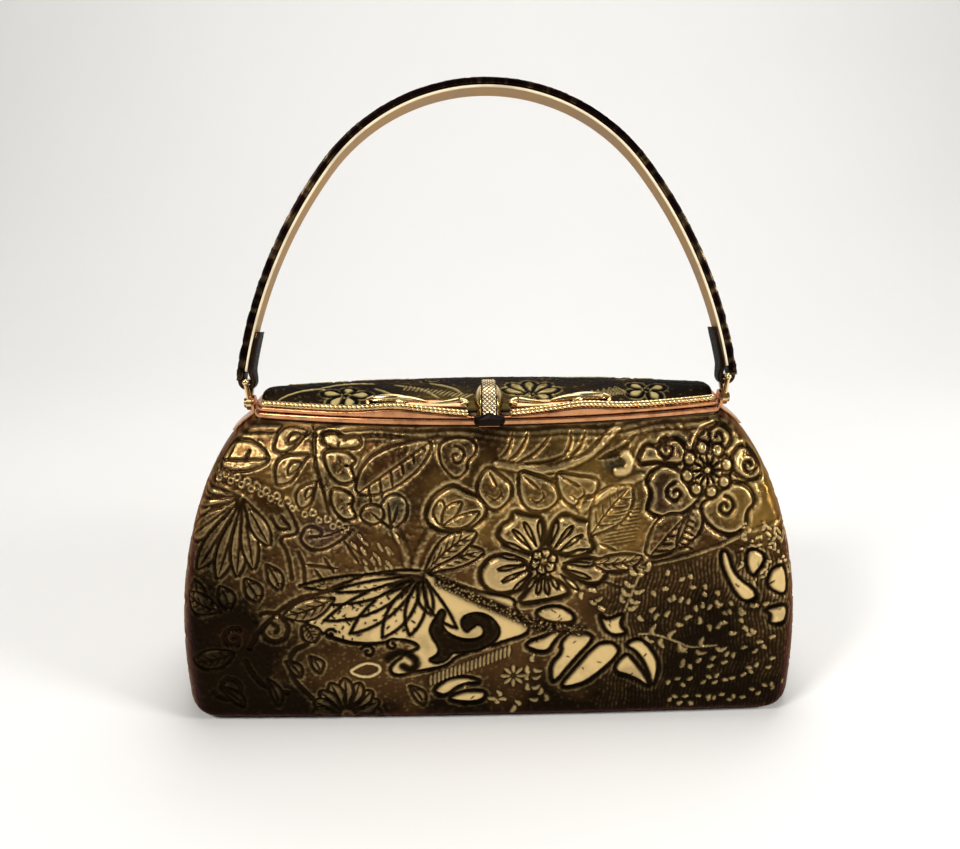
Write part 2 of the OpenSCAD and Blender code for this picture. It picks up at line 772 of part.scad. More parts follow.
module lid_leather() {
    color(leather_color)
        difference() {
            union() {
                dome();
                lid_pattern(function(p, h) on_lid(p, h));
            }
            barrel(lid_fit);
            across_clasp(slot_w)
                circle(r = lever_r + side_gap);
        }
}

// Twisted bead along the top of the rim's front, from beside the clasp to the end
rope_from = rim_start + 3.5;
rope_to_end = 4;
rope_inset = lid_rim_w / 2;
module rope_trim(side) {
    rope_l = lid_l / 2 - rope_to_end - rope_from;
    steps_in_turn = 6;
    steps = ceil(rope_l / rope_pitch * steps_in_turn);
    lobes = [[1, 0], [0.62, 90], [1, 180], [0.62, 270]];
    loops = [for (i = [0 : steps]) let (
        x = rope_from + rope_l * i / steps,
        y = -lid_half(x, rope_inset),
        z = rim_top(x) + rope_r + face_fit * 2,
        turn = -360 * rope_l / rope_pitch * i / steps
    ) [for (lobe = lobes) let (f = lobe[1] + turn, r = rope_r * lobe[0])
        [x, y + r * cos(f), z + r * sin(f)]]];
    color(gold_color)
        on_side(side)
            loft(loops);
}
module rope_trim_left() { rope_trim(-1); }
module rope_trim_right() { rope_trim(1); }

// Cast scroll with leaves beside the clasp
flourish_stand = 0.2;
module flourish(side) {
    function place(p, h) = let (
        x = p.x * lid_l / sheet_lid_l,
        y = p.y * mouth_d / sheet_lid_d - lid_half(x, dome_in)
    ) [x, y, dome_height(x, y) + h];
    wire = 1.5;
    height = 1.6;
    leaf_step = [4, 1.8];
    leaf_w = 2.4;
    vine = [for (i = [0 : 12]) [10 + 3 * i, 4.2 + 1.3 * sin(60 * i)]];
    color(gold_color)
        on_side(side) {
            for (i = [0 : len(vine) - 2])
                vein(function(p, h) place(p, h), vine[i], vine[i + 1], wire, -flourish_stand, height);
            for (i = [1 : 2 : 11]) let (
                up = i % 4 == 1 ? 1 : -1,
                tip = vine[i] + [leaf_step.x, up * leaf_step.y]
            )
                leaf(function(p, h) place(p, h), vine[i], tip, leaf_w, -flourish_stand, height);
        }
}
module flourish_left() { flourish(-1); }
module flourish_right() { flourish(1); }

// Handle. Places in its leaning plane are x and a height over the link pins; depth is across the strap
function in_handle(x, h, depth) = [
    x,
    h * sin(handle_lean) + depth * cos(handle_lean),
    pivot_z + h * cos(handle_lean) - depth * sin(handle_lean)
];
wrap_r = link_wire_r + side_gap;
foot_x = link_x + wrap_r;
inner_h = handle_h - strap_t;
side_run = [foot_x - crown_r * sin(crown_angle), inner_h - link_h - crown_r * (1 - cos(crown_angle))];
foot_angle = 2 * atan2(side_run.y, side_run.x) - crown_angle;
side_r = side_run.x / (sin(foot_angle) - sin(crown_angle));
// Point of the strap's inner face at an angle from the crown, moved out by some distance
function arch(f, out) = let (
    g = min(f, crown_angle),
    x = crown_r * sin(g) + (f > g ? side_r * (sin(f) - sin(g)) : 0),
    h = inner_h - crown_r * (1 - cos(g)) - (f > g ? side_r * (cos(g) - cos(f)) : 0)
) [x + out * sin(f), h + out * cos(f)];
function turned_by(l) = l / side_r * 180 / PI;
bar = arch(foot_angle, -wrap_r);
function strap_width(f) = strap_w + (strap_foot_w - strap_w) * pow(min(1, f / foot_angle), 1.6);

// Half strap from the crown to the foot: place, direction of its thickness, thickness and width
arch_steps = 15;
function strap_station(f, out) = [arch(f, out), [sin(f), cos(f)], strap_t, strap_width(f)];
strap_half = [for (i = [0 : arch_steps]) strap_station(foot_angle * i / arch_steps, 0)];
// The end of the outer leather narrows to a neck round the link's bar and lies folded against the band
strap_neck_w = 5;
wrap_steps = 5;
strap_wrap = [for (i = [1 : wrap_steps]) let (f = foot_angle + 180 * i / wrap_steps)
    [bar + wrap_r * [sin(f), cos(f)], [sin(f), cos(f)], strap_tab_t, strap_neck_w]];
strap_tab = [for (i = [1 : 2]) let (
    f = foot_angle - turned_by(strap_tab_l * i / 2),
    rest = band_t + 2 * side_gap
) [arch(f, -2 * wrap_r + (2 * wrap_r - rest) * i / 2), -[sin(f), cos(f)], strap_tab_t, strap_foot_w]];

// The same half on both sides, from the left foot over the crown to the right foot
function flip(s) = [[-s[0].x, s[0].y], [-s[1].x, s[1].y], s[2], s[3]];
function both(half) = concat([for (i = [len(half) - 1 : -1 : 1]) flip(half[i])], half);
module strap(stations, section) {
    loft([for (s = both(stations)) [for (q = section) let (p = s[0] + s[1] * s[2] * q.y)
        in_handle(p.x, p.y, s[3] * q.x)]]);
}
module handle_leather() {
    padded = [[-0.5, 0], [0.5, 0], [0.5, 0.55], [0.28, 1], [-0.28, 1], [-0.5, 0.55]];
    color("#3a2a1c")
        strap(concat(strap_half, strap_wrap, strap_tab), padded);
}
module handle_band() {
    low = -band_t / strap_t;
    flat = [[-0.5, low], [0.5, low], [0.5, 0], [-0.5, 0]];
    clear = 4;
    fold_gap = 4 * face_fit;
    color("#d8bd84")
        strap(concat(
            [for (i = [0 : arch_steps - 1]) strap_station(foot_angle * i / arch_steps, -fold_gap)],
            [strap_station(foot_angle - turned_by(clear), -fold_gap)]
        ), flat);
}

// Wire link: a bar in the folded end of the strap and two legs that run down to an eye on the pin
module rod(a, b, r) {
    d = b - a;
    translate(a)
        rotate([0, acos(d.z / norm(d)), atan2(d.y, d.x)])
            cylinder(h = norm(d), r = r);
}
module link(side) {
    eye_r = 3;
    leg_low = 1.6;
    leg_r = link_wire_r * 0.8;
    ball_r = link_wire_r * 1.15;
    function corner(end) = in_handle(bar.x, bar.y, end * link_w / 2);
    color(gold_color)
        on_side(side)
            difference() {
                union() {
                    along_x(link_x - eye_t / 2, 0, pivot_z, eye_t, eye_r);
                    for (end = [-1, 1]) {
                        rod(in_handle(link_x, leg_low, end * leg_low), corner(end), leg_r);
                        translate(corner(end))
                            sphere(r = ball_r);
                    }
                    rod(corner(-1), corner(1), link_wire_r);
                }
                along_x(link_x - eye_t, 0, pivot_z, 2 * eye_t, link_pin_r + running_fit);
            }
}
module link_left() { link(-1); }
module link_right() { link(1); }

front_leather();
back_leather();
base_leather();
body_board();
lining();
mouth_frame();
end_plate_left();
end_plate_right();
link_pin_left();
link_pin_right();
clasp_catch();
hinge_leaf_body();
hinge_pin();
lid_rim();
lid_board();
lid_lining();
lid_leather();
rope_trim_left();
rope_trim_right();
flourish_left();
flourish_right();
hinge_leaf_lid();
clasp_housing();
clasp_pin();
clasp_lever();
clasp_nose();
link_left();
link_right();
handle_leather();
handle_band();
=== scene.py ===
import math
import bpy
import numpy as np
from mathutils import Matrix, Vector


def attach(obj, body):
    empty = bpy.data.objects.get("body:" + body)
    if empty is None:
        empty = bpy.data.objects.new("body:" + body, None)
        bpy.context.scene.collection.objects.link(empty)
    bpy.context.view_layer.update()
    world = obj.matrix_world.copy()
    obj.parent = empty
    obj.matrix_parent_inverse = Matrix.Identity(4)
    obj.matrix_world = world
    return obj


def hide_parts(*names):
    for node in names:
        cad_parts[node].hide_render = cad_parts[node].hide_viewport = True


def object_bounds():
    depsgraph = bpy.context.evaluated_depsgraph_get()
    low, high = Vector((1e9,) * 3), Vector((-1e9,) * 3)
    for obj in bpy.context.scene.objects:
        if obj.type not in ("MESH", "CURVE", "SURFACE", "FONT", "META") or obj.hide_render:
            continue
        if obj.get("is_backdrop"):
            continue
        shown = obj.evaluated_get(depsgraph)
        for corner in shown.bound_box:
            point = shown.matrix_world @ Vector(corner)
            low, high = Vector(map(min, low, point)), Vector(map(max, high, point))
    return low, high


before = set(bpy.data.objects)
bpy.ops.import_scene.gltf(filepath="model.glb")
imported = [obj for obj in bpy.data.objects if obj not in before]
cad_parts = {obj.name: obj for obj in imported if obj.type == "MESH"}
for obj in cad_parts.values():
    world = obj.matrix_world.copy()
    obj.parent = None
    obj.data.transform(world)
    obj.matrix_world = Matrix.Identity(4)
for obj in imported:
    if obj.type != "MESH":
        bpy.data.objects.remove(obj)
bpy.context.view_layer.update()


# Studio: a pale paper sweep that curves up behind the bag, lit by large soft lamps.
# The camera stands where the photograph was taken, a little above the bag and almost straight in front.
scene = bpy.context.scene
scene.view_settings.view_transform = "Standard"


def colour(red, green, blue):
    """A colour given as 0 to 255 on screen, as the linear values a shader takes."""
    parts = [c / 255 for c in (red, green, blue)]
    return tuple(p / 12.92 if p < 0.04045 else ((p + 0.055) / 1.055) ** 2.4 for p in parts) + (1.0,)


def add_node(tree, kind, inputs=None, **settings):
    """A shader node with its settings, and with values or other nodes' outputs on its inputs."""
    made = tree.nodes.new(kind)
    for key, value in settings.items():
        setattr(made, key, value)
    for key, value in (inputs or {}).items():
        if isinstance(value, bpy.types.NodeSocket):
            tree.links.new(value, made.inputs[key])
        else:
            made.inputs[key].default_value = value
    return made


def new_material(name):
    """An empty material with its node tree and its Principled shader."""
    made = bpy.data.materials.new(name)
    made.use_nodes = True
    return made, made.node_tree, made.node_tree.nodes["Principled BSDF"]


def mixed(tree, share, first, second):
    """The colour between two colours, by a share from 0 to 1."""
    node = add_node(tree, "ShaderNodeMix", data_type="RGBA")
    for socket, value in ((node.inputs[0], share), (node.inputs[6], first), (node.inputs[7], second)):
        if isinstance(value, bpy.types.NodeSocket):
            tree.links.new(value, socket)
        else:
            socket.default_value = value
    return node.outputs[2]


def between(tree, value, low, high, start=0.0, end=1.0):
    """A value mapped from one span to another, held at its ends."""
    node = add_node(tree, "ShaderNodeMapRange", {"Value": value, "From Min": start, "From Max": end,
                                                 "To Min": low, "To Max": high})
    return node.outputs[0]


def reckoned(tree, operation, first, second):
    """Two values joined by an arithmetic operation."""
    node = add_node(tree, "ShaderNodeMath", {0: first, 1: second}, operation=operation)
    return node.outputs[0]


def applied(obj, kind, **settings):
    """Adds a modifier to the active piece and applies it."""
    made = obj.modifiers.new(kind.lower(), kind)
    for key, value in settings.items():
        setattr(made, key, value)
    bpy.ops.object.modifier_apply(modifier=made.name)


def noise(tree, scale, detail):
    """Cloudy noise that stays with the piece."""
    place = add_node(tree, "ShaderNodeTexCoord").outputs["Object"]
    return add_node(tree, "ShaderNodeTexNoise",
                    {"Vector": place, "Scale": scale, "Detail": detail}).outputs[0]


paper_size, paper_back, paper_bend = 5.0, 0.9, 0.5
bpy.ops.object.select_all(action="DESELECT")
bpy.ops.mesh.primitive_plane_add(size=paper_size, location=(0, paper_back - paper_size / 2, -0.0003))
paper = bpy.context.object
paper.name = "paper_sweep"
bpy.ops.object.transform_apply(location=True)
for edge in paper.data.edges:
    edge.select = all(paper.data.vertices[v].co.y > paper_back - 0.01 for v in edge.vertices)
for vertex in paper.data.vertices:
    vertex.select = vertex.co.y > paper_back - 0.01
for polygon in paper.data.polygons:
    polygon.select = False
bpy.ops.object.mode_set(mode="EDIT")
bpy.ops.mesh.select_mode(type="EDGE")
bpy.ops.mesh.extrude_region_move(TRANSFORM_OT_translate={"value": (0, 0, 2.5)})
bpy.ops.object.mode_set(mode="OBJECT")
applied(paper, "BEVEL", width=paper_bend, segments=16)
bpy.ops.object.shade_smooth()
paper_material, tree, shader = new_material("paper")
tree.links.new(mixed(tree, noise(tree, 3.0, 3.0), colour(233, 232, 230), colour(240, 239, 237)),
               shader.inputs["Base Color"])
shader.inputs["Roughness"].default_value = 0.85
paper.data.materials.append(paper_material)
paper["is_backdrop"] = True

world = bpy.data.worlds.new("studio")
scene.world = world
world.use_nodes = True
sky = world.node_tree.nodes["Background"]
sky.inputs["Color"].default_value = colour(190, 190, 192)
sky.inputs["Strength"].default_value = 0.2


def lamp(name, place, aim, size, power, shade):
    """A square soft lamp that faces a point."""
    light = bpy.data.lights.new(name, "AREA")
    light.size, light.energy, light.color = size, power, shade[:3]
    made = bpy.data.objects.new(name, light)
    scene.collection.objects.link(made)
    made.location = place
    made.rotation_euler = (Vector(aim) - Vector(place)).to_track_quat("-Z", "Y").to_euler()


lamp("key", (-0.6, -0.6, 0.85), (0, 0, 0.1), 0.25, 7, (1.0, 0.97, 0.93))
lamp("side", (0.8, -0.4, 0.5), (0, 0, 0.1), 0.25, 6, (1.0, 0.98, 0.95))
lamp("top", (0.1, 0.35, 1.25), (0, 0.1, 0.1), 0.8, 9, (1.0, 1.0, 1.0))

camera_place = (-0.0096, -0.3644, 0.2565)
look_down, look_aside, camera_tilt = math.radians(21), math.radians(-1), math.radians(0.4)
photo_wide, photo_focus, sensor = 960, 940, 36.0
aside = Matrix.Rotation(look_aside, 3, "Z")
ahead = aside @ Vector((0, math.cos(look_down), -math.sin(look_down)))
above = aside @ Vector((0, math.sin(look_down), math.cos(look_down)))
right = ahead.cross(above)
tilted_up = above * math.cos(camera_tilt) + right * math.sin(camera_tilt)
tilted_right = right * math.cos(camera_tilt) - above * math.sin(camera_tilt)
camera = bpy.data.objects.new("camera", bpy.data.cameras.new("camera"))
scene.collection.objects.link(camera)
camera.data.sensor_width = sensor
camera.data.lens = sensor * photo_focus / photo_wide
camera.data.clip_start = 0.01
camera.matrix_world = Matrix((
    (tilted_right.x, tilted_up.x, -ahead.x, camera_place[0]),
    (tilted_right.y, tilted_up.y, -ahead.y, camera_place[1]),
    (tilted_right.z, tilted_up.z, -ahead.z, camera_place[2]),
    (0, 0, 0, 1)))
scene.camera = camera


# Front leather: one hide panel wet-moulded over the front half of the board, its tooling pressed
# and cut by hand, given a rub of bronze and gold, then tucked under the mouth frame. Its colour also holds
# painted light: a painted highlight at the right shoulder and along the ridges, and painted shade low on
# the left, along the bottom and under the frame. Sizes in millimetres.
leather_top, low_edge, base_round = 124.2, 0.3, 7.0
base_long, base_deep, base_end, base_cap = 132.0, 42.0, 40.0, 16.0
mouth_long, mouth_deep, mouth_end, mouth_cap = 95.0, 22.0, 10.0, 4.0
flat_share, leather_thick = 0.82, 1.2
mm = 0.001


def body_outline(z):
    """Half length, half depth, half depth at the ends and end roundness of the bag at a height."""
    t = z / leather_top
    half_long = base_long - (base_long - mouth_long) * (0.8 * t ** 2.6 + 0.2 * t ** 15)
    half_deep = base_deep - (base_deep - mouth_deep) * (0.75 * t ** 2 + 0.25 * t ** 12)
    end_deep = base_end - (base_end - mouth_end) * (0.7 * t ** 2.2 + 0.3 * t ** 10)
    under = np.clip(base_round - z, 0, base_round)
    tuck = base_round - np.sqrt(base_round ** 2 - under ** 2)
    return half_long - tuck, half_deep - tuck, end_deep - tuck, base_cap + (mouth_cap - base_cap) * t


def wall_place(u, z):
    """A point on the bag's front wall, with u from -1 to 1 between the side seams, and its sheet x."""
    half_long, half_deep, end_deep, cap = body_outline(z)
    flat = half_long - cap
    share = np.abs(u)
    turn = np.clip((share - flat_share) / (1 - flat_share), 0, 1) * math.pi / 2
    x = np.where(share <= flat_share, flat * share / flat_share, flat + cap * np.sin(turn))
    straight = np.minimum(x, flat)
    bow = end_deep + (half_deep - end_deep) * (1 - (straight / half_long) ** 2)
    y = -bow * np.cos(turn)
    sheet_x = np.where(share <= flat_share, x, flat + np.hypot(x - flat, bow * (1 - np.cos(turn))) * 1.04)
    return np.sign(u) * x, y, np.sign(u) * sheet_x


class Tooling:
    """A sheet of leather seen flat, on which tools press, cut and gild."""

    step = 0.25

    def __init__(self, low, high):
        self.low = np.array(low, float)
        size = np.ceil((np.array(high, float) - self.low) / self.step).astype(int) + 1
        self.height, self.gold, self.dark = (np.zeros(size) for _ in range(3))
        self.xs = self.low[0] + self.step * np.arange(size[0])
        self.ys = self.low[1] + self.step * np.arange(size[1])
        pebble = self.softened(np.random.default_rng(7).standard_normal(size), 0.4)
        self.ground = 0.07 * pebble / pebble.std()
        self.height += self.ground

    def near(self, points, reach, closed):
        """The window round a path, the distance to the path, the place along it, and what lies inside."""
        points = np.array(points, float)
        low = np.clip(((points.min(0) - reach - self.low) / self.step).astype(int), 0, None)
        high = np.clip(((points.max(0) + reach - self.low) / self.step).astype(int) + 2, 0,
                       self.height.shape)
        window = (slice(low[0], high[0]), slice(low[1], high[1]))
        x = self.xs[window[0]][:, None]
        y = self.ys[window[1]][None, :]
        distance = np.full((x.size, y.size), 1e6)
        along = np.zeros_like(distance)
        inside = np.zeros(distance.shape, bool)
        ends = np.roll(points, -1, 0) if closed else points[1:]
        for number, (a, b) in enumerate(zip(points, ends)):
            dx, dy = b - a
            share = np.clip(((x - a[0]) * dx + (y - a[1]) * dy) / (dx * dx + dy * dy + 1e-9), 0, 1)
            gap = np.hypot(x - a[0] - share * dx, y - a[1] - share * dy)
            closer = gap < distance
            distance = np.where(closer, gap, distance)
            along = np.where(closer, (number + share) / len(ends), along)
            if closed and dy:
                crosses = ((y >= a[1]) != (y >= b[1])) & (x < a[0] + (y - a[1]) * dx / dy)
                inside ^= crosses
        return window, distance, along, inside

    def patch(self, outline, rise=0.25, groove=0.6, wide=0.65, dark=0.55, gold=0.0, ink=0.0):
        """A shape set off by a bevelled cut all round, swelling a little inside it."""
        outline = rounded(outline, True)
        window, distance, along, inside = self.near(outline, 3 * wide + 1, True)
        depth = np.where(inside, distance, -distance)
        within = np.clip(depth / 0.3 + 0.5, 0, 1)
        swell = rise * (1 - (1 - np.clip(depth / 2.5, 0, 1)) ** 2) + self.ground[window]
        cut = np.exp(-(distance / wide) ** 2)
        lip = np.exp(-((distance - 1.7 * wide) / (0.6 * wide)) ** 2)
        inked = 1 / (1 + (distance / wide) ** 6)
        level = self.height[window] * (1 - within) + swell * within
        self.height[window] = level * (1 - cut) - groove * cut + 0.3 * groove * lip
        self.gold[window] = (self.gold[window] * (1 - within) + gold * within) * (1 - inked)
        self.dark[window] = np.maximum(self.dark[window] * (1 - within) + ink * within, dark * inked)

    def line(self, path, width=1.0, depth=0.5, dark=0.55, gold=0.0, taper=False, closed=False):
        """A drawn line with crisp edges, cut in, or raised where the depth is below 0."""
        path = rounded(path, closed)
        window, distance, along, inside = self.near(path, width * 1.5 + 1, closed)
        half = width / 2 * (np.sin(np.pi * np.clip(along, 0.05, 0.95)) ** 0.6 if taper else 1.0)
        cut = 1 / (1 + (distance / half) ** 4)
        inked = 1 / (1 + (distance / half) ** 6)
        lip = np.exp(-((distance - 1.6 * half) / (0.5 * half)) ** 2)
        self.height[window] += 0.3 * depth * lip - depth * cut
        shade = inked if depth > 0 else lip
        self.dark[window] = np.maximum(self.dark[window] * (1 - inked), dark * shade)
        self.gold[window] = self.gold[window] * (1 - inked) + gold * inked

    def dots(self, centres, size, rise, gold=0.0):
        """Round stamped dots, raised or sunk."""
        for centre in centres:
            window, distance, along, inside = self.near([centre, centre], size * 2, False)
            form = np.exp(-(distance / (size / 2)) ** 4)
            ring = np.exp(-((distance - size * 0.62) / (size * 0.16)) ** 2)
            self.height[window] += rise * form - 0.3 * abs(rise) * ring
            self.dark[window] = np.maximum(self.dark[window] * (1 - form * (rise > 0)),
                                           0.8 * (ring if rise > 0 else form))
            self.gold[window] = np.maximum(self.gold[window] * (1 - ring), gold * (form > 0.5))

    def sampled(self, layer, x, y):
        """A layer's values at points of the sheet."""
        across = np.clip((x - self.low[0]) / self.step, 0, layer.shape[0] - 1.001)
        up = np.clip((y - self.low[1]) / self.step, 0, layer.shape[1] - 1.001)
        i, j = across.astype(int), up.astype(int)
        p, q = across - i, up - j
        first = layer[i, j] * (1 - p) + layer[i + 1, j] * p
        second = layer[i, j + 1] * (1 - p) + layer[i + 1, j + 1] * p
        return first * (1 - q) + second * q

    def softened(self, layer, size):
        """A layer blurred over a size."""
        across = np.fft.fftfreq(layer.shape[0], self.step)[:, None]
        up = np.fft.rfftfreq(layer.shape[1], self.step)[None, :]
        fade = np.exp(-2 * (np.pi * size) ** 2 * (across ** 2 + up ** 2))
        return np.fft.irfft2(np.fft.rfft2(layer) * fade, layer.shape)


def rounded(points, closed, times=2):
    """A path with its corners cut a few times, so that it runs as a smooth curve."""
    points = np.array(points, float)
    for _ in range(times):
        following = np.roll(points, -1, 0) if closed else points[1:]
        before = points if closed else points[:-1]
        cut = np.stack([before * 0.75 + following * 0.25, before * 0.25 + following * 0.75], 1).reshape(-1,
                                                                                                        2)
        points = cut if closed else np.vstack([points[:1], cut, points[-1:]])
    return points


def leaf(root, tip, width, bend=0.0, broad=0.5):
    """The outline of a leaf or petal from its root to its tip, bent aside and broadest part way along."""
    root, tip = np.array(root, float), np.array(tip, float)
    run = tip - root
    side = np.array([-run[1], run[0]]) / np.hypot(*run)
    t = np.linspace(0, 1, 9)
    middle = root + t[:, None] * run + side * (4 * bend * t * (1 - t))[:, None]
    half = side * (width / 2 * np.sin(np.pi * t ** (math.log(0.5) / math.log(broad))) ** 0.8)[:, None]
    return np.vstack([middle + half, (middle - half)[-2:0:-1]])


def veined(sheet, root, tip, width, bend=0.0, broad=0.5, gold=0.0, veins=4, dark=0.55):
    """A leaf with a cut outline, a midrib and slanting side veins."""
    sheet.patch(leaf(root, tip, width, bend, broad), 0.3, dark=dark, gold=gold)
    root, tip = np.array(root, float), np.array(tip, float)
    run = tip - root
    side = np.array([-run[1], run[0]]) / np.hypot(*run)
    spine = [root + t * run + side * 4 * bend * t * (1 - t) for t in (0.0, 0.35, 0.65, 0.92)]
    sheet.line(spine, 1.1, 0.5, dark, taper=True)
    for t in np.linspace(0.2, 0.7, veins):
        start = root + t * run + side * 4 * bend * t * (1 - t)
        for hand in (-1, 1):
            sheet.line([start, start + 0.16 * run + hand * side * width * 0.3], 0.7, 0.35, dark, taper=True)


def spiral(centre, start_radius, turns, start_angle, hand=1):
    """A path that winds inward round a centre."""
    t = np.linspace(0, 1, int(10 * turns) + 4)
    radius = start_radius * (1 - 0.82 * t)
    angle = math.radians(start_angle) + hand * 2 * math.pi * turns * t
    return np.stack([centre[0] + radius * np.cos(angle), centre[1] + radius * np.sin(angle)], 1)


def ring_of(centre, radius, count, start=0.0):
    """Points evenly round a centre."""
    angles = start + 2 * np.pi * np.arange(count) / count
    return [(centre[0] + radius * math.cos(a), centre[1] + radius * math.sin(a)) for a in angles]


rng = np.random.default_rng(7)
front = Tooling((-176, -8), (176, 132))

# The ground between the motifs: upright strokes low on the right, and streaks under the frame, with an even
# dark band there that is painted shade under the rail and antique in the streak grooves.
gx, gz = np.meshgrid(front.xs, front.ys, indexing="ij")
low_right = np.clip((gx - 40) / 10, 0, 1) * np.clip((70 - gz + 0.2 * (gx - 60)) / 5, 0, 1)
strokes = np.sin(2 * np.pi * (gx + 1.1 * np.sin(gz / 6.0) + 0.5 * np.sin(gz / 2.3 + gx / 9)) / 1.6)
front.height += 0.14 * strokes * low_right
front.dark += (0.3 + 0.4 * np.clip(-strokes, 0, 1)) * low_right
streaks = np.sin(2 * np.pi * (gz / 2.4 + 0.6 * np.sin(gx / 19.0) + 0.25 * np.sin(gx / 6.1)))
under_frame = np.clip((gz - 117) / 4, 0, 1)
front.height += 0.25 * streaks * under_frame
front.dark += (0.35 + 0.3 * np.clip(-streaks, 0, 1)) * under_frame


def rings(sheet, centres, size):
    """Small stamped rings, like the links of a chain."""
    for centre in centres:
        sheet.line(ring_of(centre, size / 2, 8), size * 0.34, -0.55, closed=True)


def striped(sheet, outline, root, tip, count, slant):
    """A leaf given by its outline, with a midrib and slanting stripes across it."""
    sheet.patch(outline)
    root, tip, slant = (np.array(point, float) for point in (root, tip, slant))
    sheet.line([root, tip], 1.2, 0.55, taper=True)
    for share in np.linspace(0.15, 0.88, count):
        foot = root + share * (tip - root)
        sheet.line([foot, foot + slant * (1.15 - share)], 1.3, 0.55, taper=True)


def commas(sheet, stem, reach, pitch, gold, drawn):
    """Small raised commas strewn along both sides of a stem, which itself may be drawn."""
    path = rounded(stem, False, 3)
    if drawn:
        sheet.line(stem, 0.9, -0.4, 0.8, gold)
    walked = np.append(0, np.cumsum(np.hypot(*np.diff(path, axis=0).T)))
    for number, place in enumerate(np.arange(pitch / 2, walked[-1], pitch * 0.62)):
        foot = np.array([np.interp(place, walked, path[:, axis]) for axis in (0, 1)]) + rng.uniform(-0.7,
                                                                                                    0.7, 2)
        way = np.array([np.interp(place + 0.5, walked, path[:, axis]) for axis in (0, 1)]) - foot
        way /= np.hypot(*way) + 1e-9
        across = (1 if number % 2 else -1) * np.array((-way[1], way[0]))
        tip = foot + reach * (0.7 * way + 0.9 * across)
        sheet.line([foot + across, foot + across * reach * 0.7, tip], 1.7, -0.5, 0.8, gold, True)


# Upper left: a folded leaf at the corner, a chain, a spread fan, ribbons and a leafy sprig.
striped(front, [(-108, 111), (-102, 118), (-93, 118), (-85, 112), (-93, 108), (-104, 107)],
        (-107, 111), (-86, 112), 3, (3, 5))
chain = rounded([(-116, 108), (-100, 105), (-88, 100), (-75, 94), (-56, 86)], False, 4)
rings(front, chain[::5] + (0, 1.0), 2.6)
rings(front, chain[2::5] - (0, 1.0), 2.2)
for tip, width in (((-121, 100), 6), ((-124, 91), 7), ((-123, 80), 8), ((-117, 69), 8), ((-109, 65), 8),
                   ((-101, 66), 7), ((-94, 69), 7), ((-87, 79), 7)):
    veined(front, (-97, 98), tip, width, broad=0.62, veins=1)
for root, tip, width in (((-98, 66), (-93, 56), 7), ((-89, 72), (-84, 61), 6), ((-108, 63), (-105, 53), 7),
                         ((-118, 66), (-118, 54), 7)):
    veined(front, root, tip, width, 0.8, 0.55, veins=2)
for ribbon in ([(-81, 97), (-77, 90), (-75, 84), (-84, 83), (-80, 77), (-79, 66)],
               [(-86, 91), (-84, 86), (-78, 86), (-82, 91)], [(-76, 77), (-74, 72), (-74, 64)]):
    front.line(ribbon, 1.6, 0.55)
front.line([(-69, 124), (-69, 112), (-66, 104), (-63, 92)], 1.8, 0.6)
for root, tip, width, bend in (((-70, 122), (-85, 115), 8, -1.4), ((-70, 114), (-84, 103), 9, -2.0),
                               ((-67, 105), (-75, 94), 7, -1.2)):
    front.patch(leaf(root, tip, width, bend, 0.64))
    inner = np.array(root) * 0.75 + np.array(tip) * 0.25
    front.patch(leaf(inner, inner * 0.45 + np.array(tip) * 0.55, width * 0.36, bend * 0.4), 0.2, 0.5, 0.5)
for outline, folds in (([(-66, 121), (-61, 122), (-57, 120), (-51, 121), (-50, 117), (-58, 116),
                         (-65, 117)], 3),
                       ([(-66, 115), (-60, 116), (-55, 115), (-52, 112), (-55, 110), (-52, 105), (-58, 103),
                         (-63, 107)], 4),
                       ([(-63, 102), (-58, 102), (-53, 99), (-55, 95), (-52, 91), (-57, 89), (-62, 94)],
                        4)):
    front.patch(outline, 0.45, 0.7, 0.75)
    middle = np.mean(outline, 0)
    for number in range(folds):
        turn = np.array((math.cos(number * 2.1), math.sin(number * 2.1))) * 2.6
        front.line([middle + 0.3 * turn, middle + turn], 1.0, 0.5, taper=True)
front.line([(-54, 86), (-62, 79), (-70, 77), (-76, 82), (-72, 88), (-66, 86), (-67, 83), (-71, 83)], 1.5,
           0.6)
front.line([(-55, 88), (-62, 84), (-67, 83)], 1.2, 0.5, taper=True)
for root, tip in (((-74, 72), (-60, 70)), ((-58, 82), (-52, 72)), ((-66, 75), (-62, 68)),
                  ((-70, 70), (-66, 64))):
    front.line([root, tip], 1.4, 0.55, taper=True)
for foot in np.stack([rng.uniform(-55, -38, 22), rng.uniform(71, 87, 22)], 1):
    front.line([foot, foot + (rng.uniform(0.5, 2.5), -rng.uniform(2, 4))], 1.2, -0.5, taper=True)

# Upper middle: a striped leaf, a trefoil and a bud on their stems, a lobed cloud and a fern.
striped(front, [(-53, 99), (-52, 107), (-47, 114), (-38, 118), (-21, 121), (-26, 110), (-40, 100)],
        (-52, 100), (-22, 120), 6, (1, -9))
for outline, strokes_to in (([(-44, 90), (-43, 97), (-37, 101), (-32, 97), (-33, 90), (-38, 86)],
                             ((-40, 97), (-36, 96))),
                            ([(-52, 91), (-49, 96), (-43, 96), (-41, 91), (-46, 87)], ((-47, 93),))):
    front.patch(outline)
    for tip in strokes_to:
        front.line([(-39, 86), tip], 1.3, 0.55, taper=True)
for stem in ([(-33, 72), (-34, 79), (-38, 87)], [(-30, 71), (-27, 80), (-22, 87)]):
    front.line(stem, 2.6, -0.4)
front.patch([(-26, 89), (-24, 98), (-15, 104), (-10, 101), (-2, 98), (-1, 91), (-9, 85), (-20, 85)], 0.4,
            0.8, 1.0, 0.75)
for tip, bend in (((-19, 98), 1), ((-11, 97), 1), ((-4, 93), -1)):
    front.patch(leaf((-19, 87), tip, 5, bend), 0.3, 0.5, 0.55)
front.patch([(-20, 119), (-20, 112), (-14, 105), (-9, 108), (-9, 112), (-5, 115), (-6, 120), (-13, 121)])
front.line(spiral((-13, 114), 3.8, 1.1, 100, -1), 1.3, 0.6)
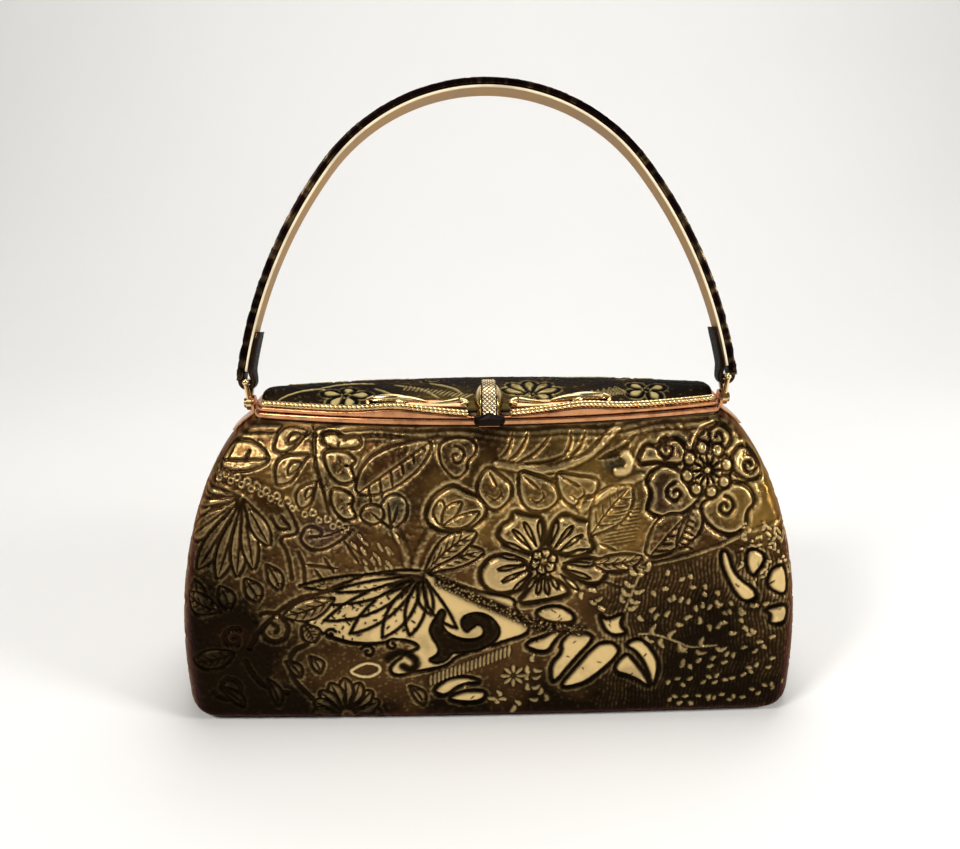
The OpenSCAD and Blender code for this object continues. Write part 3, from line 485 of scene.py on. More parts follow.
front.line([(3, 111), (18, 108), (31, 110), (40, 114), (52, 124)], 2.2, -0.6)
for root, tip in (((4, 113), (9, 122)), ((7, 112), (15, 122)), ((10, 111), (24, 121)),
                  ((13, 111), (30, 114)),
                  ((29, 114), (32, 122)), ((31, 113), (38, 122)), ((33, 112), (45, 121)),
                  ((42, 112), (55, 116)),
                  ((44, 113), (58, 120)), ((20, 106), (30, 106))):
    front.line([root, (np.array(root) + np.array(tip)) / 2 + (1.2, -1.2), tip], 1.7, 0.6, taper=True)
for outline in ([(-1, 111), (-6, 103), (-4, 97), (2, 92), (8, 97), (9, 103), (4, 107)],
                [(11, 109), (11, 99), (14, 93), (22, 92), (28, 97), (25, 104), (17, 107)],
                [(25, 108), (27, 98), (33, 93), (36, 98), (42, 98), (43, 105), (34, 106)]):
    front.patch(outline, 0.4, 0.75, 0.8)
    top, middle = np.array(outline[0]), np.mean(outline, 0)
    front.line([top * 0.7 + middle * 0.3, middle + (1, 1)], 1.5, 0.6, taper=True)
    front.line([middle + (-3, -2), middle + (0, -4.5), middle + (3, -2), middle + (2, 0.5)], 1.1, 0.45,
               taper=True)

# Middle: the large flower with five full petals, its looped heart, and leaves to its right.
flower = np.array((21.0, 72.0))
for outline, gold in (
        ([(19, 75), (10, 77), (2, 82), (4, 87), (8, 89), (9, 93), (15, 91), (20, 91), (22, 83)], 0.0),
        ([(22, 77), (24, 87), (29, 92), (34, 89), (41, 88), (39, 83), (42, 76), (31, 74)], 0.0),
        ([(16, 70), (9, 75), (1, 75), (-5, 69), (-3, 61), (5, 58), (15, 62)], 0.6),
        ([(28, 70), (36, 74), (44, 72), (47, 66), (42, 61), (32, 65)], 0.1),
        ([(19, 66), (15, 61), (10, 54), (20, 55), (33, 58), (27, 64)], 0.25)):
    front.patch(outline, 0.5, 0.8, 1.2, 0.8, gold)
    far = np.mean(outline, 0) - flower
    aside = np.array((-far[1], far[0]))
    for turn in (-0.5, -0.17, 0.17, 0.5):
        tip = flower + far * (1.25 - abs(turn) * 0.6) + aside * turn
        front.patch(leaf(flower + far * 0.42 + aside * turn * 0.4, tip, 1.9, 0, 0.65), 0.4, 0.5, 0.5, 0.9)
for point in ring_of(flower, 5.6, 6, 0.3):
    front.patch(leaf(flower, point, 4.4, 0, 0.65), 0.4, 0.7, 0.6, 0.9)
    front.line([flower, flower * 0.4 + np.array(point) * 0.6], 1.0, 0.5, 0.9, taper=True)
front.dots([flower], 2.6, 0.6)
veined(front, (39, 82), (56, 102), 15, 1.0, 0.55, 0.0, 4)
veined(front, (40, 71), (61, 73), 8, -1.5, 0.5, 0.0, 4)
for root, tip in (((44, 67), (54, 68)), ((45, 63), (53, 60)), ((52, 71), (61, 66)), ((43, 79), (50, 76))):
    front.line([root, tip], 1.5, 0.55, taper=True)
front.line([(36, 93), (46, 100), (59, 105)], 2.4, -0.5)
for share in np.linspace(0, 1, 10):
    front.line([(44 + 4 * share, 78 + 13 * share), (58 + share, 80 + 13 * share)], 0.8, 0.25, 0.4,
               taper=True)
front.line([(50, 107), (54, 107), (55, 111), (53, 113)], 2.6, -0.6, gold=0.7)

# Upper right: the rosette, a star heart ringed by scallops, with curling petals, and leaves below.
rosette = np.array((86.0, 106.0))
for outline, curl, hand in (
        ([(80, 102), (72, 109), (65, 108), (61, 103), (64, 98), (61, 91), (69, 88), (77, 90), (84, 96)],
         (73, 98), 1),
        ([(88, 97), (95, 102), (103, 100), (106, 93), (102, 90), (102, 83), (95, 80), (87, 84), (82, 92)],
         (93, 92), -1),
        ([(95, 110), (101, 115), (108, 110), (109, 104), (104, 101), (97, 104)], (103, 107), -1),
        ([(80, 114), (85, 120), (92, 122), (98, 118), (95, 113), (88, 112)], (91, 117), 1),
        ([(57, 109), (61, 117), (67, 115), (74, 119), (79, 113), (76, 108), (66, 110)], (70, 114), 1)):
    front.patch(outline, 0.6, 0.9, 1.0, 0.85)
    front.line(spiral(curl, 4.2, 1.2, 90, hand), 1.9, 0.8, 0.9)
front.patch(ring_of(rosette, 9.5, 16), 0.5, 0.9, 1.0, 0.9)
for point in ring_of(rosette, 8.2, 8, 0.2):
    front.patch(ring_of(point, 2.7, 8), 0.5, 0.7, 0.7, 0.85)
front.patch(ring_of(rosette, 6.2, 12), 0.3, 0.3, 0.4, 0.6)
for point in ring_of(rosette, 6.0, 12):
    front.line([rosette * 0.8 + np.array(point) * 0.2, point], 1.5, 0.6, 1.0, taper=True)
front.dots([rosette], 2.2, 0.7)
striped(front, [(61, 72), (62, 80), (65, 87), (71, 91), (78, 89), (76, 81), (74, 75)], (63, 73), (77, 89),
        5, (6, 0))
striped(front, [(74, 75), (74, 82), (78, 90), (82, 93), (85, 87), (82, 80)], (74, 76), (80, 92), 6, (6, -3))
front.line([(60, 69), (76, 72), (90, 76), (103, 82), (120, 86)], 1.4, -0.4)
for foot in np.stack([rng.uniform(100, 126, 110), rng.uniform(60, 85, 110)], 1):
    turn = rng.uniform(-1.5, 1.5, 2)
    front.line([foot - turn, foot + turn], 1.1, -0.5, 1.0, 0.7, True)

# Lower right: sprays of commas over the stroked ground, and flat gilt petals with broad dark outlines.
for stem, reach, pitch, drawn in (
        ([(54, 51), (57, 60), (60, 68)], 4.2, 3.2, True),
        ([(60, 40), (66, 40), (76, 36), (81, 33), (92, 34)], 4.4, 6.0, True),
        ([(64, 60), (76, 55), (86, 51), (100, 49), (112, 50)], 2.4, 5.0, False),
        ([(58, 49), (70, 48), (84, 43), (98, 41), (112, 40)], 3.0, 6.0, False),
        ([(66, 68), (78, 64), (90, 56), (104, 45)], 2.2, 5.5, False),
        ([(74, 26), (88, 25), (102, 30), (118, 36)], 2.4, 5.0, False),
        ([(72, 17), (86, 17), (102, 20), (118, 26)], 2.2, 4.6, False),
        ([(70, 9), (88, 8), (106, 10), (122, 16)], 2.0, 4.4, False),
        ([(22, 8), (15, 18), (19, 30)], 3.4, 3.6, False), ([(12, 6), (4, 10), (0, 14)], 3.0, 3.6, False),
        ([(36, 60), (42, 56), (47, 52)], 3.0, 3.4, False)):
    commas(front, stem, reach, pitch, 0.45, drawn)
for outline in (
        [(25, 16), (24, 27), (29, 32), (28, 37), (32, 41), (39, 41), (42, 38), (34, 29)],
        [(27, 15), (35, 26), (42, 35), (48, 37), (53, 33), (50, 28), (45, 23), (38, 17)],
        [(54, 35), (59, 38), (63, 36), (68, 29), (69, 23), (67, 14), (64, 24), (60, 31)],
        [(55, 32), (59, 27), (64, 20), (66, 14), (58, 20), (49, 23)],
        [(43, 50), (47, 46), (54, 50), (52, 44), (56, 40), (47, 39)],
        [(92, 75), (95, 74), (98, 64), (109, 56), (104, 52), (99, 55), (92, 69)],
        [(103, 76), (111, 72), (108, 66), (105, 63), (102, 69)],
        [(112, 66), (119, 69), (121, 54), (111, 58)],
        [(110, 49), (121, 52), (121, 43), (113, 42), (114, 47)],
        [(17, 51), (26, 54), (34, 49), (33, 45), (21, 46)],
        [(14, 37), (22, 40), (32, 44), (26, 38), (23, 32), (15, 34)],
        [(-25, 15), (-18, 21), (-10, 22), (-3, 19), (-13, 18), (-19, 12)],
        [(-19, 11), (-12, 15), (-2, 15), (-3, 10), (-11, 9)]):
    front.patch(outline, 0.1, 0.7, 0.95, 1.0, 1.0)
    for spot in rng.normal(np.mean(outline, 0), 3.0, (3, 2)):
        front.line([spot, spot + rng.uniform(-1.5, 1.5, 2)], 0.5, 0.15, 0.7)

# Lower middle: a gilt field that carries the fan, a broad dark volute, a rough branch and small scrolls.
front.patch([(-77, 48), (-74, 57), (-61, 63), (-48, 68), (-30, 70), (-18, 65), (-6, 60), (10, 57), (9, 52),
             (18, 42), (3, 37),
             (-14, 32), (-18, 27), (-28, 25), (-40, 22), (-42, 27), (-34, 33), (-28, 36), (-36, 40),
             (-48, 37), (-62, 39)],
            0.1, 0.6, 0.8, 1.0, 1.0)
for foot in np.stack([rng.uniform(-72, -30, 110), rng.uniform(40, 64, 110)], 1):
    front.line([foot, foot + rng.uniform(-1.2, 1.2, 2)], rng.uniform(0.4, 0.9), 0.2, 0.9)
hub = np.array((-27.0, 67.0))
for tip, width, bend in (((-76, 63), 7, 1), ((-73, 56), 8, 1), ((-67, 48), 9, 1), ((-57, 42), 9, 0),
                         ((-44, 40), 9, 0),
                         ((-33, 41), 8, 0), ((-24, 50), 6, -1), ((-14, 44), 6, -2)):
    blade = leaf(hub, tip, width, bend, 0.55)
    for side in (blade[:9], np.vstack([blade[8:], blade[:1]])):
        front.line(side, 1.5, 0.45, 1.0)
for tip, width, bend in (((-2, 77), 9, 2), ((-5, 85), 9, 2)):
    veined(front, hub, tip, width, bend, 0.6, 0.0, 5, 0.8)
front.patch([(-12, 45), (-12, 48), (-10, 50), (-5, 51), (0, 49), (4, 43), (2, 38), (-4, 34), (-11, 33),
             (-16, 33), (-17, 31),
             (-19, 29), (-23, 28), (-26, 30), (-22, 32), (-21, 35), (-24, 40), (-25, 44), (-23, 48),
             (-20, 53), (-18, 51),
             (-20, 46), (-18, 42), (-12, 39), (-6, 39), (-3, 41), (-3, 44), (-5, 46), (-8, 44), (-10, 42)],
            0.2, 0.5, 0.6, 1.0, ink=0.95)
front.line([(-42, 31), (-38, 34), (-32, 32), (-30, 28), (-33, 25), (-36, 27)], 3.6, 0.35, 1.0)
branch = rounded([(-20, 65), (-8, 58), (9, 50), (20, 44), (36, 42)], False, 4)
front.line(branch, 5.0, 0.3, 1.0)
for foot in np.repeat(branch, 3, 0) + rng.uniform(-2.2, 2.2, (3 * len(branch), 2)):
    front.dots([foot], 0.9, 0.3, 0.05)
front.line([(-58, 25), (-55, 27), (-51, 29), (-46, 28), (-45, 25), (-50, 22), (-55, 23)], 1.2, -0.2, 0.9,
           1.0, closed=True)
for centre, radius, start, hand in (((-65, 42), 2.6, 30, 1), ((-50, 34), 3.2, 150, -1),
                                    ((-40, 37), 3.0, 40, 1)):
    front.line(spiral(centre, radius, 1.1, start, hand), 1.4, 0.4, 1.0)
for share in np.linspace(0, 1, 20):
    foot = np.array((-25 + 32 * share, 18 + 13 * share))
    front.line([foot, foot + (0.4, 5)], 1.3, -0.5, 0.9, 0.25, True)
for point in ring_of((9, 22), 5.0, 8):
    front.line([(9 + 0.3 * (point[0] - 9), 22 + 0.3 * (point[1] - 22)), point], 1.6, -0.6, 0.9, 0.25, True)

# Lower left: a scroll, broad leaves and a many-petalled bloom, all dark with only their edges showing.
for path in (spiral((-88, 44), 8, 1.4, 120, -1), spiral((-104, 40), 5, 1.1, 60, 1),
             [(-64, 60), (-78, 58), (-92, 46), (-98, 36)],
             [(-74, 38), (-82, 34), (-82, 22), (-74, 12)], [(-100, 30), (-97, 22), (-90, 16), (-84, 15)],
             spiral((-108, 18), 7, 1.2, 200, 1)):
    front.line(path, 2.0, 0.6)
for root, tip, width in (((-62, 58), (-84, 50), 9), ((-76, 46), (-72, 38), 8), ((-108, 52), (-122, 60), 9),
                         ((-104, 34), (-122, 30), 9)):
    veined(front, root, tip, width, 1.4, 0.55, 0.0, 4)
for angle in np.radians(np.linspace(5, 175, 9)):
    way = np.array((math.cos(angle), math.sin(angle)))
    veined(front, (-60, 4) + 3 * way, (-60, 4) + (18 - 3 * abs(way[0])) * way, 6.5, 0, 0.6, 0.0, 1)
for foot, tip in (((-84, 30), (-78, 22)), ((-74, 32), (-70, 24)), ((-112, 18), (-102, 8)),
                  ((-92, 22), (-88, 8)), ((-34, 18), (-28, 8))):
    veined(front, foot, tip, 5, 1.2, 0.55, 0.0, 2)

# Both ends, where the panel turns to the side seam: leaf sprays that climb from the base.
for hand in (-1, 1):
    front.line([(hand * 138, 10), (hand * 135, 40), (hand * 131, 70), (hand * 124, 100)], 2.0, -0.5)
    for foot, reach in ((16, 17), (32, 17), (48, 16), (64, 13), (78, 11), (90, 9)):
        start = np.array((hand * (139 - foot * 0.12), foot))
        veined(front, start, start + (hand * reach, 10), 7, hand * 1.0, 0.55, 0.0, 3)
        veined(front, start, start + (-hand * 9, 8), 4.5, -hand * 0.8, 0.55, 0.0, 2)


def blobs(x, y, spots):
    """A soft field made of round spots, each with a centre, a reach both ways and a strength."""
    field = np.zeros_like(x)
    for centre_x, centre_y, wide, high, strength in spots:
        field += strength * np.exp(-((x - centre_x) / wide) ** 2 - ((y - centre_y) / high) ** 2)
    return field


def painted(obj, name, values):
    """Writes one value for each of a mesh's points, for a material to read."""
    spread = np.broadcast_to(np.asarray(values, np.float32), (len(obj.data.vertices),)).copy()
    obj.data.attributes.new(name, "FLOAT", "POINT").data.foreach_set("value", spread)


def dressed(obj, sheet, x, y, tone_and_light, tints):
    """Writes the tooling's paint and wear, and the tone field with its painted highlight and painted shade,
    on a mesh's points, for the leather material to read.
    """
    # Gold rub on the raised places, made strong enough to stand as a painted highlight along the ridges.
    raised = np.clip((sheet.height - sheet.softened(sheet.height, 1.2)) * 4 - 0.25, 0, 1)
    layers = {"gold": sheet.sampled(sheet.gold, x, y),
              "dark": sheet.sampled(np.clip(sheet.dark, 0, 1), x, y),
              "rub_and_highlight": sheet.sampled(raised, x, y), "tone_and_light": blobs(x, y, tone_and_light)}
    for name, values in layers.items():
        painted(obj, name, values)
    stain = np.zeros((x.size, 4), np.float32)
    for shade, spots in tints:
        share = np.clip(blobs(x, y, spots), 0, 1)[:, None]
        stain[:, :3] = stain[:, :3] * (1 - share) + np.array(colour(*shade))[None, :3] * share
        stain[:, 3:] = np.maximum(stain[:, 3:], share)
    obj.data.attributes.new("stain", "FLOAT_COLOR", "POINT").data.foreach_set("color", stain.ravel())


def grid(name, columns, rows):
    """A flat grid, and the u and v of its points from 0 to 1."""
    bpy.ops.object.select_all(action="DESELECT")
    bpy.ops.mesh.primitive_grid_add(x_subdivisions=columns, y_subdivisions=rows, size=1)
    made = bpy.context.object
    made.name = made.data.name = name
    flat = np.empty(len(made.data.vertices) * 3)
    made.data.vertices.foreach_get("co", flat)
    flat = flat.reshape(-1, 3) + 0.5
    return made, flat[:, 0], flat[:, 1]


def closed_up(obj):
    """Joins edges that meet, closes open ends and turns faces outward."""
    bpy.ops.object.mode_set(mode="EDIT")
    bpy.ops.mesh.select_all(action="SELECT")
    bpy.ops.mesh.remove_doubles(threshold=1e-6)
    bpy.ops.mesh.fill_holes(sides=0)
    bpy.ops.mesh.normals_make_consistent(inside=False)
    bpy.ops.object.mode_set(mode="OBJECT")
    bpy.ops.object.shade_smooth()


def placed(obj, x, y, z, closed=False):
    """Moves a mesh's points to their places, given in millimetres, and may close the mesh."""
    spots = np.stack([x, y, z], 1) * mm
    obj.data.vertices.foreach_set("co", spots.ravel())
    obj.data.update()
    if closed:
        closed_up(obj)
    bpy.ops.object.shade_smooth()


def panel_place(u, v):
    """Height, place and sheet place of a panel's points, by their shares along and up the panel."""
    height = low_edge + (leather_top - low_edge) * (v + 0.35 * v * (1 - v) * (v - 0.75))
    x, y, sheet_x = wall_place(2 * u - 1, height)
    return height, x, y, sheet_x, height + 3.0 * np.clip(base_round - height, 0, base_round) / base_round


def leather_panel(name, sheet, facing, tone_and_light, tints):
    """A tooled panel over one half of the bag: facing is 1 for the front and -1 for the back."""
    obj, u, v = grid(name, 900, 460)
    height, x, y, sheet_x, run = panel_place(u, v)
    placed(obj, facing * x, facing * (y - 0.05), height)
    normals = np.empty(len(obj.data.vertices) * 3)
    obj.data.vertices.foreach_get("normal", normals)
    normals = normals.reshape(-1, 3)
    relief = sheet.sampled(sheet.height, sheet_x, run)
    hem = np.clip((leather_top - height) / 3, 0, 1) * np.clip((1 - np.abs(2 * u - 1)) / 0.02, 0, 1)
    relief = (np.clip(relief, -1.0, 1.0) - 0.1) * hem * np.clip(height / 5, 0, 1)
    relief *= 1 - 0.6 * np.clip((np.abs(2 * u - 1) - flat_share + 0.02) / 0.08, 0, 1)
    x, y, z = np.array([facing * x, facing * (y - 0.05), height]) + normals.T * relief
    placed(obj, x, y, z)
    applied(obj, "DECIMATE", ratio=0.235)
    applied(obj, "SOLIDIFY", thickness=leather_thick * mm, offset=-1, use_rim_only=True)
    corner = np.empty(len(obj.data.loops), int)
    obj.data.loops.foreach_get("vertex_index", corner)
    spots = np.empty(len(obj.data.loops) * 2)
    obj.data.uv_layers[0].data.foreach_get("uv", spots)
    share = np.zeros((len(obj.data.vertices), 2))
    share[corner] = spots.reshape(-1, 2)
    height, x, y, sheet_x, run = panel_place(share[:, 0], share[:, 1])
    dressed(obj, sheet, sheet_x, run, tone_and_light, tints)
    return obj


def shared_nodes(name, *outputs):
    """A node group that gives values, for several materials to share."""
    made = bpy.data.node_groups.new(name, "ShaderNodeTree")
    for output in outputs:
        made.interface.new_socket(output, in_out="OUTPUT", socket_type="NodeSocketFloat")
    return made


# The fine grain that every leather piece shares: small cells and pores.
grain = shared_nodes("leather_grain", "Height", "Mottle")
grain.interface.new_socket("Size", in_out="INPUT", socket_type="NodeSocketFloat")
taken = add_node(grain, "NodeGroupInput")
spot = add_node(grain, "ShaderNodeTexCoord").outputs["Object"]
cells = add_node(grain, "ShaderNodeTexVoronoi", {"Vector": spot, "Scale": taken.outputs["Size"]},
                 feature="DISTANCE_TO_EDGE").outputs["Distance"]
pores = noise(grain, 2600.0, 4.0)
mottle = noise(grain, 70.0, 5.0)
given = add_node(grain, "NodeGroupOutput")
grain.links.new(reckoned(grain, "ADD", between(grain, cells, 0, 1, 0, 0.25), pores), given.inputs["Height"])
grain.links.new(mottle, given.inputs["Mottle"])


def tooled_leather(name, darkest, middle, gold_tone_and_highlight, gilt, grain_size=1500.0, shine=0.28, gleam=0.85,
                   edge_tint=(1, 1, 1, 1)):
    """Dyed leather with dark antique in its cuts, bronze given in a rub over its high places and gilt
    shapes; the tone field adds a painted highlight and painted shade, and the gold on the high places is
    partly a painted highlight.
    """
    made, tree, shader = new_material(name)
    fine = add_node(tree, "ShaderNodeGroup", {"Size": grain_size}, node_tree=grain)
    read = {key: add_node(tree, "ShaderNodeAttribute", attribute_name=key).outputs["Fac"]
            for key in ("gold", "dark", "rub_and_highlight", "tone_and_light")}
    stain = add_node(tree, "ShaderNodeAttribute", attribute_name="stain")
    patchy = between(tree, fine.outputs["Mottle"], -0.3, 0.3, 0.3, 0.7)
    tone_and_light = reckoned(tree, "ADD", read["tone_and_light"], patchy)
    # Tone ramp: a low tone gives the darkest colour, which is painted shade where the spots darken; the top
    # of the ramp also gives the painted highlight.
    base = mixed(tree, between(tree, tone_and_light, 0, 1, -0.8, 0.1), darkest, middle)
    base = mixed(tree, between(tree, tone_and_light, 0, 1, 0.1, 1.0), base, gold_tone_and_highlight)
    base = mixed(tree, reckoned(tree, "MULTIPLY", stain.outputs["Alpha"], 0.7), base,
                 stain.outputs["Color"])
    # Gold on the raised places: partly rub, partly a painted highlight, weaker where the tone field is low.
    rubbed_and_highlit = reckoned(tree, "MULTIPLY", read["rub_and_highlight"], between(tree, tone_and_light, 0.02, 0.85, -0.9, 0.5))
    base = mixed(tree, rubbed_and_highlit, base, gilt)
    rough_gilt = reckoned(tree, "MULTIPLY", read["gold"],
                          between(tree, fine.outputs["Mottle"], 0.65, 1, 0.35, 0.5))
    base = mixed(tree, rough_gilt, base, gilt)
    base = mixed(tree, read["dark"], base, darkest)
    tree.links.new(base, shader.inputs["Base Color"])
    tree.links.new(between(tree, rough_gilt, gleam, 0.35), shader.inputs["Metallic"])
    shader.inputs["Specular Tint"].default_value = edge_tint
    rough = between(tree, fine.outputs["Mottle"], shine - 0.06, shine + 0.1, 0.3, 0.7)
    rough = reckoned(tree, "ADD", rough, between(tree, rough_gilt, 0, 0.2))
    tree.links.new(rough, shader.inputs["Roughness"])
    bump = add_node(tree, "ShaderNodeBump",
                    {"Height": fine.outputs["Height"], "Strength": 0.25, "Distance": 0.0001})
    tree.links.new(bump.outputs[0], shader.inputs["Normal"])
    return made


hide = tooled_leather("tooled_leather", colour(15, 9, 5), colour(82, 56, 30), colour(152, 116, 56),
                      colour(222, 192, 132),
                      edge_tint=colour(200, 160, 100))
# Tone of the ground: the positive spots are bronze and gold in the ground, but the strong one at the right
# shoulder is a painted highlight; the spots low on the left, up the left end, along the bottom and at the
# bottom-right corner are painted shade, and one more darkens the stroked ground low on the right.
front_tone_and_light = [(-98, 105, 26, 20, 0.15), (35, 105, 34, 18, 0.6), (48, 85, 24, 20, 0.45),
               (10, 80, 30, 18, 0.25),
               (-14, 92, 16, 11, 0.4), (108, 95, 14, 22, 0.9), (-60, 105, 25, 18, 0.25),
               (88, 100, 18, 16, 0.35),
               (-108, 18, 40, 44, -1.1), (110, 12, 30, 20, -0.6), (84, 42, 36, 28, -0.8),
               (-62, 14, 40, 20, -0.05),
               (25, 10, 70, 18, -0.6), (-112, 62, 22, 24, -0.4), (0, 4, 120, 8, -0.4)]
front_tints = [((92, 44, 30),
                [(-38, 109, 11, 8, 0.8), (-104, 42, 10, 5, 0.4), (73, 113, 8, 5, 0.9),
                 (92, 104, 10, 8, 0.6), (-52, 80, 10, 8, 0.45), (30, 84, 8, 6, 0.4)]),
               ((40, 70, 66), [(-37, 96, 7, 7, 0.7), (48, 110, 4, 3, 0.9), (-14, 103, 5, 4, 0.4)]),
               ((78, 58, 76), [(-66, 86, 12, 8, 0.6), (68, 98, 8, 8, 0.6), (80, 90, 8, 6, 0.5)])]
front_leather = leather_panel("front_leather_tooled", front, 1, front_tone_and_light, front_tints)
front_leather.data.materials.append(hide)
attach(front_leather, "bag")
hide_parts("front_leather")


# Back leather: a second hide panel, tooled more plainly with a spray climbing to each side.
# It meets the front panel in a turned seam at both ends. Nothing of it shows in the photograph.
back = Tooling((-176, -8), (176, 132))
# Streaks under the frame, with an even dark band there that is painted shade under the rail and antique in
# the streak grooves.
streaks = np.sin(2 * np.pi * (gz / 2.6 + 0.5 * np.sin(gx / 17.0)))
back.height += 0.22 * streaks * np.clip((gz - 116) / 5, 0, 1)
back.dark += (0.45 + 0.3 * np.clip(-streaks, 0, 1)) * np.clip((gz - 117) / 5, 0, 1)
for hand in (-1, 1):
    back.line([(hand * 4, 14), (hand * 30, 26), (hand * 60, 30), (hand * 92, 54), (hand * 96, 88)], 2.0,
              -0.7, gold=0.4)
    for root, tip, width, bend in (
            ((20, 24), (26, 52), 13, 2), ((44, 30), (58, 58), 14, 2), ((66, 34), (82, 58), 12, -2),
            ((88, 50), (70, 76), 13, -2),
            ((95, 70), (112, 88), 11, 2), ((96, 86), (84, 108), 11, -2), ((30, 24), (52, 10), 10, -1),
            ((60, 30), (84, 16), 11, -1),
            ((84, 44), (112, 36), 11, 2)):
        veined(back, (hand * root[0], root[1]), (hand * tip[0], tip[1]), width, hand * bend, 0.55, 0.3, 5)
    back.line(spiral((hand * 40, 84), 13, 1.7, 90, hand), 2.2, -0.7, gold=0.5)
    for point in ring_of((hand * 40, 84), 18, 9):
        back.patch(leaf((hand * 40 + 0.75 * (point[0] - hand * 40), 84 + 0.75 * (point[1] - 84)), point,
                        4.5), gold=0.5)
    stem = [(hand * 134, 10), (hand * 131, 40), (hand * 128, 70), (hand * 122, 100)]
    back.line(stem, 1.6, -0.6, gold=0.3)
    for foot, reach in ((18, 15), (34, 15), (50, 14), (66, 12), (80, 10), (92, 8)):
        start = np.array((hand * (135 - foot * 0.1), foot))
        veined(back, start, start + (hand * reach, 9), 6, hand * 1.0, 0.55, 0.3, 3)
for point in ring_of((0, 60), 15, 8, 0.2):
    veined(back, (0.3 * point[0], 60 + 0.3 * (point[1] - 60)), point, 9, 0, 0.62, 0.5, 3)
back.dots([(0, 60)], 6, 0.8, 0.6)
back.dots(ring_of((0, 60), 20, 24), 1.6, 0.5, 0.5)
# Tone of the ground: bronze and gold in the upper spots and the middle; darker along the bottom and at both
# ends as painted shade.
back_tone_and_light = [(-60, 95, 40, 26, 0.45), (60, 95, 40, 26, 0.5), (0, 60, 30, 26, 0.4), (0, 4, 120, 10, -0.5),
              (-110, 20, 30, 30, -0.5),
              (110, 20, 30, 30, -0.5)]
back_leather = leather_panel("back_leather_tooled", back, -1, back_tone_and_light,
                             [((92, 44, 30), [(50, 44, 14, 10, 0.4), (-50, 44, 14, 10, 0.4)])])
back_leather.data.materials.append(hide)
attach(back_leather, "bag")
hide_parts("back_leather")


# Base panel: a plain dark hide let in under the moulded walls, its rim turned and pressed flat.
def plan_edge(u, half_long, half_deep, end_deep, cap):
    """A point on the bag's plan outline, with u running once round it from one end."""
    half, share = np.divmod(u * 2, 1.0)
    across = 2 * share - 1
    flat = half_long - cap
    turn = np.clip((np.abs(across) - flat_share) / (1 - flat_share), 0, 1) * math.pi / 2
    x = np.sign(across) * np.where(turn > 0, flat + cap * np.sin(turn), flat * np.abs(across) / flat_share)
    bow = end_deep + (half_deep - end_deep) * (1 - (np.minimum(np.abs(x), flat) / half_long) ** 2)
    facing = np.where(half % 2 < 1, 1, -1)
    return facing * x, -facing * bow * np.cos(turn)


def plain_sheet(obj, tone_and_light=0.0, gold=0.0, rub_and_highlight=0.0):
    """Leather without tooling: even values for the leather material to read."""
    for name, values in (("gold", gold), ("dark", 0.0), ("rub_and_highlight", rub_and_highlight), ("tone_and_light", tone_and_light)):
        painted(obj, name, values)
    stain = np.zeros(len(obj.data.vertices) * 4, np.float32)
    obj.data.attributes.new("stain", "FLOAT_COLOR", "POINT").data.foreach_set("color", stain)


base_in = 2.1
base_panel, u, v = grid("base_panel", 240, 24)
half_long, half_deep, end_deep, cap = (float(size) for size in body_outline(np.array(2.0)))
edge_x, edge_y = plan_edge(u, half_long - base_in, half_deep - base_in, end_deep - base_in, cap)
shrink = np.clip(v / 0.7, 0, 1)
height = 2.0 * np.clip((v - 0.72) / 0.1, 0, 1)
shrink = np.where(v > 0.82, np.clip((1 - v) / 0.18, 0, 1), shrink)
placed(base_panel, edge_x * shrink, edge_y * shrink, height, True)
plain_sheet(base_panel, -0.2, 0.0, 0.0)
base_panel.data.materials.append(tooled_leather("base_leather", colour(20, 14, 10), colour(48, 34, 23),
                                                colour(70, 52, 34),
                                                colour(120, 96, 62), 900.0, 0.5))
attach(base_panel, "bag")
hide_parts("base_leather")


# Board: stiff pressed fibre that gives the bag and the lid their shape. Only its edges could ever be seen.
# The solids serve as they are, with a fibrous finish.
board, tree, shader = new_material("fibre_board")
fibres = noise(tree, 400.0, 6.0)
tree.links.new(mixed(tree, fibres, colour(120, 98, 70), colour(164, 140, 106)), shader.inputs["Base Color"])
tree.links.new(between(tree, fibres, 0.75, 0.95), shader.inputs["Roughness"])


def finished(node, material):
    """Gives a CAD node its finish."""
    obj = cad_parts[node]
    obj.data.materials.clear()
    obj.data.materials.append(material)


for node in ("body_board", "lid_board"):
    finished(node, board)


# Lining: a tan twill glued inside the board, slightly slack on the walls.
weave = shared_nodes("twill_weave", "Height", "Tone")
spot = add_node(weave, "ShaderNodeTexCoord").outputs["Object"]
ribs = add_node(weave, "ShaderNodeTexWave",
                {"Vector": spot, "Scale": 420.0, "Distortion": 0.6, "Detail": 1.0},
                bands_direction="DIAGONAL").outputs["Fac"]
slubs = noise(weave, 300.0, 4.0)
given = add_node(weave, "NodeGroupOutput")
weave.links.new(ribs, given.inputs["Height"])
weave.links.new(reckoned(weave, "ADD", reckoned(weave, "MULTIPLY", ribs, 0.4), slubs), given.inputs["Tone"])
twill, tree, shader = new_material("lining_twill")
cloth = add_node(tree, "ShaderNodeGroup", node_tree=weave)
tree.links.new(mixed(tree, between(tree, cloth.outputs["Tone"], 0, 1, 0.3, 1.0), colour(112, 84, 54),
                     colour(168, 136, 96)),
               shader.inputs["Base Color"])
tree.links.new(between(tree, cloth.outputs["Tone"], 0.8, 0.95, 0.3, 1.0), shader.inputs["Roughness"])
bump = add_node(tree, "ShaderNodeBump",
                {"Height": cloth.outputs["Height"], "Strength": 0.3, "Distance": 0.0002})
tree.links.new(bump.outputs[0], shader.inputs["Normal"])


